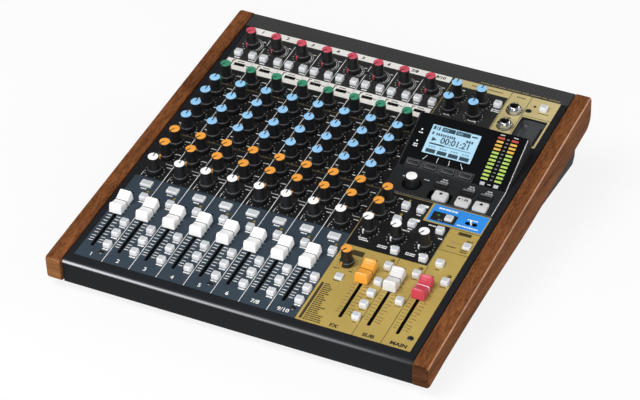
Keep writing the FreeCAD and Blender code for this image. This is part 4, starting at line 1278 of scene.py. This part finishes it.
# fine lines from the display to the function keys, and two plain symbols beside it
def makeFacePrinting():
    bm = bmesh.new()
    low, half, keysTop, u = -0.04, 0.22, 11.2, 215.5
    lines = ((229.6, 16.2, 226.8), (239.8, 16.2, 239.6), (250.0, 16.2, 250.5), (260.0, 16.4, 263.4))
    for start, top, end in lines:
        ends = [(end - half, keysTop), (end + half, keysTop), (start + half, top), (start - half, top)]
        prism(bm, ends, low, 0.0)
    for v, rows in ((39.6, 1), (27.6, 2)):
        lathe(bm, u, v, ((0.8, low), (0.8, 0.0)), 16)
        for row in range(rows):
            smallCaption(bm, u, v - 3.4 - 1.9 * row, 4.0, 1.0, 3, -0.05)
    white = meshOf(bm, "facePrinting", "inkWhite")
    finishPiece("facePrinting", white, facePlace, "console")


# a painted highlight: a thin white line along the top of the housing's right edge, where its bevel catches the
# light
def makeEdgeHighlight():
    kink, lip = console["kink"], console["lip"]
    front, reach = housingShape["edgeHighlight"]
    path = [(front, lip), (kink - 1.5, lip), (kink + 1.4, lip + 0.5)]
    path.append((kink + reach * math.cos(slope), lip + reach * math.sin(slope)))
    u = housingShape["right"] - 0.7
    corners = ((-0.2, -0.05), (0.2, -0.05), (0.2, 0.05), (-0.2, 0.05))
    rings = [[(u + aside, v, w + up) for aside, up in corners] for v, w in path]
    edge = meshOf(skin(bmesh.new(), rings), "edgeHighlight", "inkWhite")
    finishPiece("housingEdgeLine", edge, deckPlace, "console")


def consoleKeysAt(kind, places, finishName):
    size, levels = consoleKeys[kind]
    return instances(places, pad(bmesh.new(), 0, 0, *size, levels), finishName)


def transportSymbols():
    face = (3.38, 3.44)
    (stop, v), (play, _), (record, _) = transportKeys
    spans = ((stop - 1.3, stop + 1.3), (play + 0.9, play + 2.0), (play + 2.7, play + 3.8))
    bm = plates(bmesh.new(), [(u0, u1, v + 0.4, v + 3.0) for u0, u1 in spans], *face)
    prism(bm, [(play - 4.6, v + 0.4), (play - 2.2, v + 1.7), (play - 4.6, v + 3.0)], *face)
    plate(bm, play - 1.0, play - 0.6, v + 0.6, v + 2.8, *face)
    lathe(bm, record, v + 1.7, [(1.5, height) for height in face], 20)
    return meshOf(bm, "symbols", "inkBlack")


def makeConsoleKeys():
    # painted highlights: a grey strip on the rear of each menu key's top, and a grey rim round each function
    # key
    sheen = pad(bmesh.new(), 0, 1.35, 10.2, 2.2, 0.6, ((3.2, 0.0), (3.34, 0.1)))
    parts = [consoleKeysAt("menu", menuKeys, "keyBlack"), instances(menuKeys, sheen, "keySheen")]
    mesh = joined("menu", parts)
    finishPiece("menuKeysMoulded", mesh, deckPlace, "menu_keys", ["menu_keys"])
    mesh = joined("transport", [consoleKeysAt("transport", transportKeys, "keyGrey"), transportSymbols()])
    node = "transport_keys"
    finishPiece("transportKeysMoulded", mesh, deckPlace, node, [node])
    places = housingShape["functionKeys"]
    levels = ((0.7, 0.0), (0.93, 0.0), (0.93, 0.35), (0.7, 0.35))
    rim = pad(bmesh.new(), 0, 0, 10.7, 4.7, 0.6, levels, tube=True)
    parts = [consoleKeysAt("function", places, "keyBlack"), instances(places, rim, "keySheen")]
    mesh = joined("function", parts)
    node = "function_keys"
    finishPiece("functionKeysMoulded", mesh, facePlace, node, [node])


def makeEncoder():
    profile = ((6.3, -4.4), (6.85, -4.2), (6.9, -3.0), (6.5, 1.0), (5.7, 6.0), (5.05, 9.2), (4.8, 9.6))
    body = lathe(bmesh.new(), *encoderSeat, profile, 48, 0.12, (3, 4))
    lathe(body, *encoderSeat, ((2.95, -6.8), (2.95, -4.3)), 12)
    cap = lathe(bmesh.new(), *encoderSeat, ((4.75, 9.4), (4.88, 9.8), (4.8, 10.25), (4.4, 10.45)), 48)
    mesh = joined("encoder", [meshOf(body, "body", "knob"), meshOf(cap, "cap", "capWhite")])
    finishPiece("encoderKnobRibbed", mesh, deckPlace, "encoder_knob", ["encoder_knob"])


def makeKeypadPrinting():
    bm = bmesh.new()
    lip = console["lip"]
    for u, v in menuKeys:
        smallCaption(bm, u + 0.6, v + 5.9, 7.0, 1.3, 3, lip)
        smallCaption(bm, u + 0.6, v + 8.6, 5.0, 1.5, 2, lip)
    smallCaption(bm, 239.5, 207.6, 4.6, 1.2, 3, lip)
    smallCaption(bm, 219.2, 205.4, 2.0, 1.4, 1, lip)
    grey = meshOf(bm, "keypadPrinting", "inkGrey")
    finishPiece("keypadPrinting", grey, deckPlace, "console")


makeHousing()
makeLens()
makeDisplay()
makeMeters()
makeFacePrinting()
makeEdgeHighlight()
makeConsoleKeys()
makeEncoder()
makeKeypadPrinting()
print("display ready")

# The rings of a jack, each with its finish, its segments, where they start and its closed profile.
phonesJackRings = (
    ("nickel", 40, 0, ((4.4, 0.0), (7.5, 0.0), (7.5, 0.5), (7.2, 1.05), (5.2, 1.2), (4.4, 1.2))),
    ("chrome", 6, 15, ((4.3, 1.15), (6.6, 1.15), (6.9, 1.5), (6.9, 3.6), (6.3, 4.1), (4.3, 4.15))),
    (
        "chrome",
        40,
        0,
        (
            *((4.75, 4.0), (4.5, 4.3), (4.75, 4.6), (4.5, 4.9), (4.75, 5.2), (4.75, 4.8), (4.4, 5.2)),
            *((4.7, 5.4), (4.5, 5.8), (4.2, 6.0), (3.8, 6.0), (3.45, 5.8), (3.28, 5.4), (3.28, 4.6)),
            *((4.0, 4.2), (4.0, 3.9)),
        ),
    ),
    ("dark", 40, 0, ((3.3, 4.7), (4.3, 4.6), (4.3, -14.0), (0.6, -14.0), (0.6, -13.0), (3.3, -13.0))),
)
lineJackRings = (
    ("nickel", 6, 0, ((4.1, 0.0), (6.8, 0.0), (7.0, 0.4), (7.0, 1.9), (6.5, 2.3), (4.1, 2.3))),
    ("socket", 24, 0, ((4.2, -1.4), (4.2, 2.5), (4.0, 2.6), (3.5, 2.6), (3.3, 2.4), (3.3, -1.4))),
    ("dark", 24, 0, ((3.3, -1.0), (4.3, -1.0), (4.3, -17.0), (0.6, -17.0), (0.6, -16.0), (3.3, -16.0))),
)
rearSockets = {
    "threePoleHeight": 59.0,
    "jackHeight": 33.5,
    "dataHeight": 17.0,
    "inputs": (0, 1, 2, 3, 4, 5, 6, 7),
    "outputs": (9, 10),
    "upperJacks": (8, 11),
    "numbers": ("1", "2", "3", "4", "5", "6", "7", "9"),
}


def jacksAt(points, rings):
    return [
        instances(points, lathe(bmesh.new(), 0, 0, profile, segments, tube=True, start=start), finishName)
        for finishName, segments, start, profile in rings
    ]


def rearSeats(numbers, height):
    return [(worldX(number), -height) for number in numbers]


def lathes(bm, points, profile, segments):
    for u, v in points:
        lathe(bm, u, v, profile, segments)
    return bm


def around(u, v, reach, turns):
    return [(u + reach * math.cos(math.radians(t)), v + reach * math.sin(math.radians(t))) for t in turns]


# a three-pole socket: the male one has pins in its mouth, the female one a boss
def threePoleSockets(seats, male):
    flange = pad(bmesh.new(), 0, 0, 22.4, 25.8, 3.0, ((0.0, 0.0), (1.6, 0.0), (1.95, 0.35)), 5)
    core = block(bmesh.new(), 0, 0, 18.8, 19.8, 2.0, -17.9, 0.0)
    shell = bmesh.new()
    for shape in (flange, core):
        mouth = lathe(bmesh.new(), 0, 0, ((9.3, -12.8 if male else -0.9), (9.3, 3.0)), 32)
        shell.from_mesh(carved(meshOf(shape, "shell"), "shell", meshOf(mouth, "mouth")))
    ring = ((8.7, 0.2), (9.25, 0.2), (9.25, 2.0), (9.0, 2.2), (8.7, 2.0))
    parts = [instances(seats, shell, "socket"), *jacksAt(seats, [("nickel", 32, 0, ring)])]
    turns = (90, 210, 330)
    if male:
        pins = lathes(bmesh.new(), around(0, 0, 5.0, turns), ((1.2, -11.6), (1.2, -2.0), (0.8, -1.5)), 12)
        parts.append(instances(seats, pins, "nickel"))
    else:
        boss = lathe(bmesh.new(), 0, 0, ((7.7, -0.9), (7.7, 1.3), (7.4, 1.6)), 32)
        contacts = lathes(bmesh.new(), around(0, 0, 4.2, turns), ((1.5, 1.5), (1.5, 1.63)), 12)
        parts += [instances(seats, boss, "component"), instances(seats, contacts, "dark")]
    screws = lathes(bmesh.new(), ((-8.6, -10.4), (8.6, 10.4)), ((1.7, 1.9), (1.7, 2.2), (1.2, 2.45)), 12)
    return parts + [instances(seats, screws, "screw")]


def makeJacks():
    s = rearSockets
    parts = threePoleSockets(rearSeats(s["inputs"], s["threePoleHeight"]), False)
    parts += threePoleSockets(rearSeats(s["outputs"], s["threePoleHeight"]), True)
    mesh = joined("threePole", parts)
    finishPiece("threePoleSockets", mesh, rearPlace, "console", ["xlr_sockets"])
    seats = rearSeats(range(12), s["jackHeight"]) + rearSeats(s["upperJacks"], s["threePoleHeight"])
    lines = joined("lineJacks", jacksAt(seats, lineJackRings))
    lines.transform(deckPlace.inverted() @ rearPlace)
    mesh = joined("jacks", [*jacksAt(phonesJacks, phonesJackRings), lines])
    finishPiece("quarterInchJacks", mesh, deckPlace, "console", ["jacks"])


# two round five-pin sockets, the small data socket and the power inlet, and the power switch beside them
def makeDataSockets():
    metal, dark, shell = bmesh.new(), bmesh.new(), bmesh.new()
    y = -rearSockets["dataHeight"]
    for x in (worldX(8), worldX(9) - 3):
        lathe(metal, x, y, ((6.75, -9.8), (6.75, 0.6), (6.5, 0.95), (5.9, 0.95), (5.9, 0.2)), 32)
        lathes(dark, around(x, y, 3.6, (0, 45, 90, 135, 180)), ((0.75, 0.1), (0.75, 0.32)), 10)
    x = worldX(9) + 15
    block(metal, x, y, 8.9, 3.2, 1.6, -6.8, 0.25, 4)
    block(dark, x, y, 8.2, 2.5, 1.25, 0.1, 0.3, 4)
    block(metal, x, y, 6.2, 0.6, 0.3, 0.2, 0.36)
    x = worldX(10) + 11
    pad(shell, x, y, 8.1, 8.1, 0.8, ((-10.8, 0.0), (0.3, 0.0), (0.48, 0.2)))
    lathe(dark, x, y, ((2.9, 0.3), (2.9, 0.5)), 24)
    lathe(metal, x, y, ((1.0, 0.4), (1.0, 0.49)), 16)
    parts = [meshOf(metal, "metal", "nickel"), meshOf(dark, "dark", "dark"), meshOf(shell, "shell", "socket")]
    finishPiece("dataSockets", joined("data", parts), rearPlace, "console", ["data_sockets"])
    button = pad(bmesh.new(), worldX(11) + 2, y, 7.9, 7.9, 0.8, ((-6.0, 0.05), (1.9, 0.05), (2.35, 0.5)))
    mesh = meshOf(button, "power", "keyBlack")
    finishPiece("powerButton", mesh, rearPlace, "power_switch", ["power_switch"])


def makeRearPrinting():
    s = rearSockets
    bm = bmesh.new()
    for x, y in rearSeats(range(12), s["jackHeight"] + 9.2):
        smallCaption(bm, x, y, 7.0, 1.4, 4)
    for x, y in rearSeats(s["inputs"] + s["outputs"], s["threePoleHeight"] - 15.2):
        smallCaption(bm, x, y, 9.0, 1.4, 5)
    marks = [meshOf(bm, "rearPrinting", "inkGrey")]
    for text, (x, y) in zip(s["numbers"], rearSeats(s["inputs"], s["jackHeight"] + 12.0)):
        mark = lettering(text, 0, 0, 3.4, "inkWhite")
        mark.transform(Matrix.Translation((x, y, ink["high"])) @ Matrix.Rotation(math.pi, 4, "Z"))
        marks.append(mark)
    finishPiece("rearPrinting", joined("rearPrinting", marks), rearPlace, "console")


def makeCardRecess():
    s = cardRecess
    (u, v), (width, depth), floor, scoop = s["middle"], s["size"], s["floor"], s["scoop"]
    u0, u1, v0, v1 = u - width / 2, u + width / 2, v - depth / 2, v + depth / 2
    wall = 1.4
    tray = plate(bmesh.new(), u0 - wall, u1 + wall, v0 - wall, v1 + wall, scoop - wall, -1.5)
    basin = block(bmesh.new(), u, v, width, depth, s["corner"], floor, 0.0, 6)
    levels = ((scoop, 2.2), (scoop + 0.7, 1.2), (scoop + 2.0, 0.5), (floor + 0.8, 0.0))
    finger = pad(bmesh.new(), u0 + 4.6, v, 7.6, depth - 3.6, 3.4, levels, 6)
    slot = plate(bmesh.new(), u1 - 3.0, u1 - 1.6, v0 + 5.0, v0 + 29.0, scoop + 0.2, floor + 0.5)
    cutters = [meshOf(cutter, "trayCutter") for cutter in (basin, finger, slot)]
    shade = plate(bmesh.new(), u1 - 2.9, u1 - 1.7, v0 + 5.1, v0 + 28.9, floor - 0.9, floor - 0.6)
    parts = [carved(meshOf(tray, "tray", "tray"), "tray", *cutters), meshOf(shade, "trayShade", "dark")]
    finishPiece("cardTray", joined("tray", parts), deckPlace, "console", ["card_recess"])


# screws on the deck, two rows across the rear panel and a ring under the pan
screwShapes = {
    "deck": {
        "head": ((2.75, 0.0), (2.7, 0.25), (2.2, 0.55), (1.4, 0.68)),
        "segments": 24,
        "cross": (1.5, 0.28, 0.7),
    },
    "case": {
        "head": ((2.3, 0.0), (2.25, 0.3), (1.8, 0.6), (1.1, 0.7)),
        "segments": 20,
        "cross": (1.3, 0.25, 0.73),
    },
}
screwPlaces = {
    "deck": (
        *((26.5, 21.5), (126.5, 21.5), (201.5, 21.5), (302.0, 25.0)),
        *((32.4, 324.0), (132.4, 324.0), (231.4, 331.5), (284.5, 328.6)),
    ),
    "rear": (
        *((-146.0, 75.8), (-75.0, 75.8), (0.0, 75.8), (75.0, 75.8), (146.0, 75.8)),
        *((-140.0, 14.0), (-70.0, 14.0), (10.0, 14.0)),
    ),
    "under": (
        *((-145.0, -120.0), (145.0, -120.0), (-145.0, 0.0), (145.0, 0.0)),
        *((-145.0, 120.0), (145.0, 120.0), (0.0, -120.0), (0.0, 150.0)),
    ),
    "panFoot": 7.0,
}


def crossHeadScrews(points, kind):
    s = screwShapes[kind]
    arm, half, top = s["cross"]
    cross = plate(bmesh.new(), -arm, arm, -half, half, 0.5, top)
    plate(cross, -half, half, -arm, arm, 0.5, top - 0.01)
    head = lathe(bmesh.new(), 0, 0, s["head"], s["segments"])
    return joined("screws", [instances(points, head, "screw"), instances(points, cross, "dark")])


def makeDeckScrews():
    points = [(u, v, 0.0, 17.0 * i) for i, (u, v) in enumerate(screwPlaces["deck"])]
    mesh = crossHeadScrews(points, "deck")
    finishPiece("crossHeadScrews", mesh, deckPlace, "console", ["deck_screws"])


def makeCaseScrews():
    s = screwPlaces
    rear = [(x, -z, 0.0, 31.0 * i) for i, (x, z) in enumerate(s["rear"])]
    under = [(x, -y, -s["panFoot"], 23.0 * i) for i, (x, y) in enumerate(s["under"])]
    underPlace = toMetres @ Matrix.Rotation(math.pi, 4, "X")
    for name, place, points in (("rearScrews", rearPlace, rear), ("panScrews", underPlace, under)):
        finishPiece(name, crossHeadScrews(points, "case"), place, "console")


lampProfile = ((1.25, 0.0), (1.25, 0.4), (1.1, 0.55), (0.85, 0.55), (0.7, 0.4), (0.35, 0.5))
lampPlaces = {
    "lampAmber": [(column(n) + 7.3, controls["lampRow"]) for n in range(12) if n != 8],
    "lampRed": [(287.7, 336.0)],
    "lampGreen": [(265.5, 170.5)],
    "lampClear": [(290.0, 143.5)],
}
lampPlaces["lampAmber"] += [(236.6, 178.2), (236.6, 159.4)]


def makeSmallParts():
    lamps = [
        instances(points, lathe(bmesh.new(), 0, 0, lampProfile, 20), finishName)
        for finishName, points in lampPlaces.items()
    ]
    finishPiece("lamps", joined("lamps", lamps), deckPlace, "console", ["status_leds"])
    lever = plate(bmesh.new(), -0.75, 0.75, -1.0, 1.0, -4.0, 0.25)
    modes = [(column(n) + controls["modeOffset"] - 2.0, controls["modeRow"]) for n in range(8)]
    mesh = instances(modes, lever, "keyBlack")
    finishPiece("modeLevers", mesh, deckPlace, "mode_switches", ["mode_switches"])
    lever = pad(bmesh.new(), 0, 0, 1.55, 2.1, 0.4, ((-4.0, 0.0), (3.8, 0.1), (4.15, 0.35)))
    mesh = instances([linkWindow["middle"]], lever, "capWhite")
    finishPiece("linkLever", mesh, deckPlace, "link_switch", ["link_switch"])
    profile = ((2.4, 0.9), (2.6, 0.0), (7.4, 0.0), (7.9, 0.5), (8.45, 6.4), (8.45, 7.0))
    foot = lathe(bmesh.new(), 0, 0, profile, 32)
    feet = [(x, y) for x in (-133.5, 133.5) for y in (console["frontY"] + 24, rearY - 24)]
    finishPiece("rubberFeet", instances(feet, foot, "rubber"), toMetres, "console", ["feet"])


makeJacks()
makeDataSockets()
makeRearPrinting()
makeCardRecess()
makeDeckScrews()
makeSmallParts()
makeCaseScrews()
print("small parts ready")

# carried-over nodes keep their shape and take a finish
carried = {
    "chassis_pan": "panSteel",
    "rear_panel": "panSteel",
    "circuit_boards": "board",
    "knob_pots": "component",
    "fader_bodies": "component",
    "key_switches": "component",
}
for nodeName, finishName in carried.items():
    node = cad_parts[nodeName]
    node.data.materials.clear()
    node.data.materials.append(finish[finishName])

cameraSetting = {
    "position": (894.91, -1339.10, 1421.86),
    "right": (0.909, 0.4158, -0.0305),
    "down": (0.2498, -0.6018, -0.7585),
    "forward": (-0.3337, 0.6819, -0.6509),
    "focalPixels": 2597.41,
    "frameWidth": 640,
    "sensor": 36.0,
}


def makeCamera():
    s = cameraSetting
    data = bpy.data.cameras.new("camera")
    data.sensor_width = s["sensor"]
    data.lens = s["sensor"] * s["focalPixels"] / s["frameWidth"]
    data.clip_start = 0.05
    data.clip_end = 50.0
    obj = linked("camera", data)
    columns = [Vector(s["right"]), -Vector(s["down"]), -Vector(s["forward"])]
    turn = Matrix.Rotation(tilt, 3, "X") @ Matrix(columns).transposed()
    obj.matrix_world = Matrix.Translation(deckPlace @ Vector(s["position"])) @ turn.to_4x4()
    bpy.context.scene.camera = obj


lights = {
    "key": {"position": (-0.7, -1.2, 2.1), "size": 1.4, "power": 46.0},
    "fill": {"position": (0.9, -2.1, 1.0), "size": 1.4, "power": 20.0},
    "rim": {"position": (1.6, 1.5, 1.05), "size": 0.9, "power": 16.0},
}
lightTarget = Vector((0, 0, 0.05))


def makeLights():
    for name, s in lights.items():
        data = bpy.data.lights.new(name, "AREA")
        data.shape = "SQUARE"
        data.size = s["size"]
        data.energy = s["power"]
        obj = linked(name, data)
        obj.location = s["position"]
        obj.rotation_euler = (lightTarget - Vector(s["position"])).to_track_quat("-Z", "Y").to_euler()


# A soft room: pale near the horizon, grey above the front, dim above the back.
room = {"pale": 0.95, "front": 0.36, "back": 0.07, "bandTop": 0.5, "bandFoot": 0.1, "turn": (-0.75, 0.05)}


def makeWorld():
    world = bpy.data.worlds.new("studio")
    bpy.context.scene.world = world
    tree = emptied(world)
    where = addNode(tree, "ShaderNodeTexCoord").outputs["Generated"]
    parts = addNode(tree, "ShaderNodeSeparateXYZ", links={0: where}).outputs
    first, last = room["turn"]
    ends = {"From Min": first, "From Max": last, "To Min": room["front"], "To Max": room["back"]}
    overhead = addNode(tree, "ShaderNodeMapRange", ends, {"Value": parts["Y"]})
    ends = {"From Min": room["bandFoot"], "From Max": room["bandTop"], "To Min": 1.0, "To Max": 0.0}
    ends["interpolation_type"] = "SMOOTHSTEP"
    band = addNode(tree, "ShaderNodeMapRange", ends, {"Value": parts["Z"]})
    strength = addNode(tree, "ShaderNodeMix", {3: room["pale"]}, {0: band, 2: overhead})
    tint = {"Color": linear("#f6f7f8")}
    light = addNode(tree, "ShaderNodeBackground", tint, {"Strength": strength})
    addNode(tree, "ShaderNodeOutputWorld", links={"Surface": light})


# Pale paper under the object. Rays from the camera, and those mirrored or passed on by a surface,
# see it nearly white; a sixth of it stays paper, which keeps the object's shadow.
def makeFloor():
    material = bpy.data.materials.new("palePaperFloor")
    tree = emptied(material)
    paper = addNode(tree, "ShaderNodeBsdfDiffuse", {"Color": linear("#f4f4f4")})
    glow = addNode(tree, "ShaderNodeEmission", {"Color": (1, 1, 1, 1), "Strength": 1.0})
    rays = addNode(tree, "ShaderNodeLightPath").outputs
    seen = rays["Is Camera Ray"]
    for kind in ("Is Glossy Ray", "Is Transmission Ray"):
        seen = addNode(tree, "ShaderNodeMath", {"operation": "MAXIMUM"}, {0: seen, 1: rays[kind]})
    share = addNode(tree, "ShaderNodeMath", {"operation": "MULTIPLY", 1: 0.84}, {0: seen})
    mixed = addNode(tree, "ShaderNodeMixShader", links={0: share, 1: paper, 2: glow})
    addNode(tree, "ShaderNodeOutputMaterial", links={"Surface": mixed})
    floor = linked("floor", meshOf(plate(bmesh.new(), -4.0, 4.0, -4.0, 4.0, -0.02, 0.0), "floor"))
    floor.data.materials.append(material)


makeCamera()
makeLights()
makeWorld()
makeFloor()
bpy.context.scene.view_settings.view_transform = "Standard"
print("studio ready")
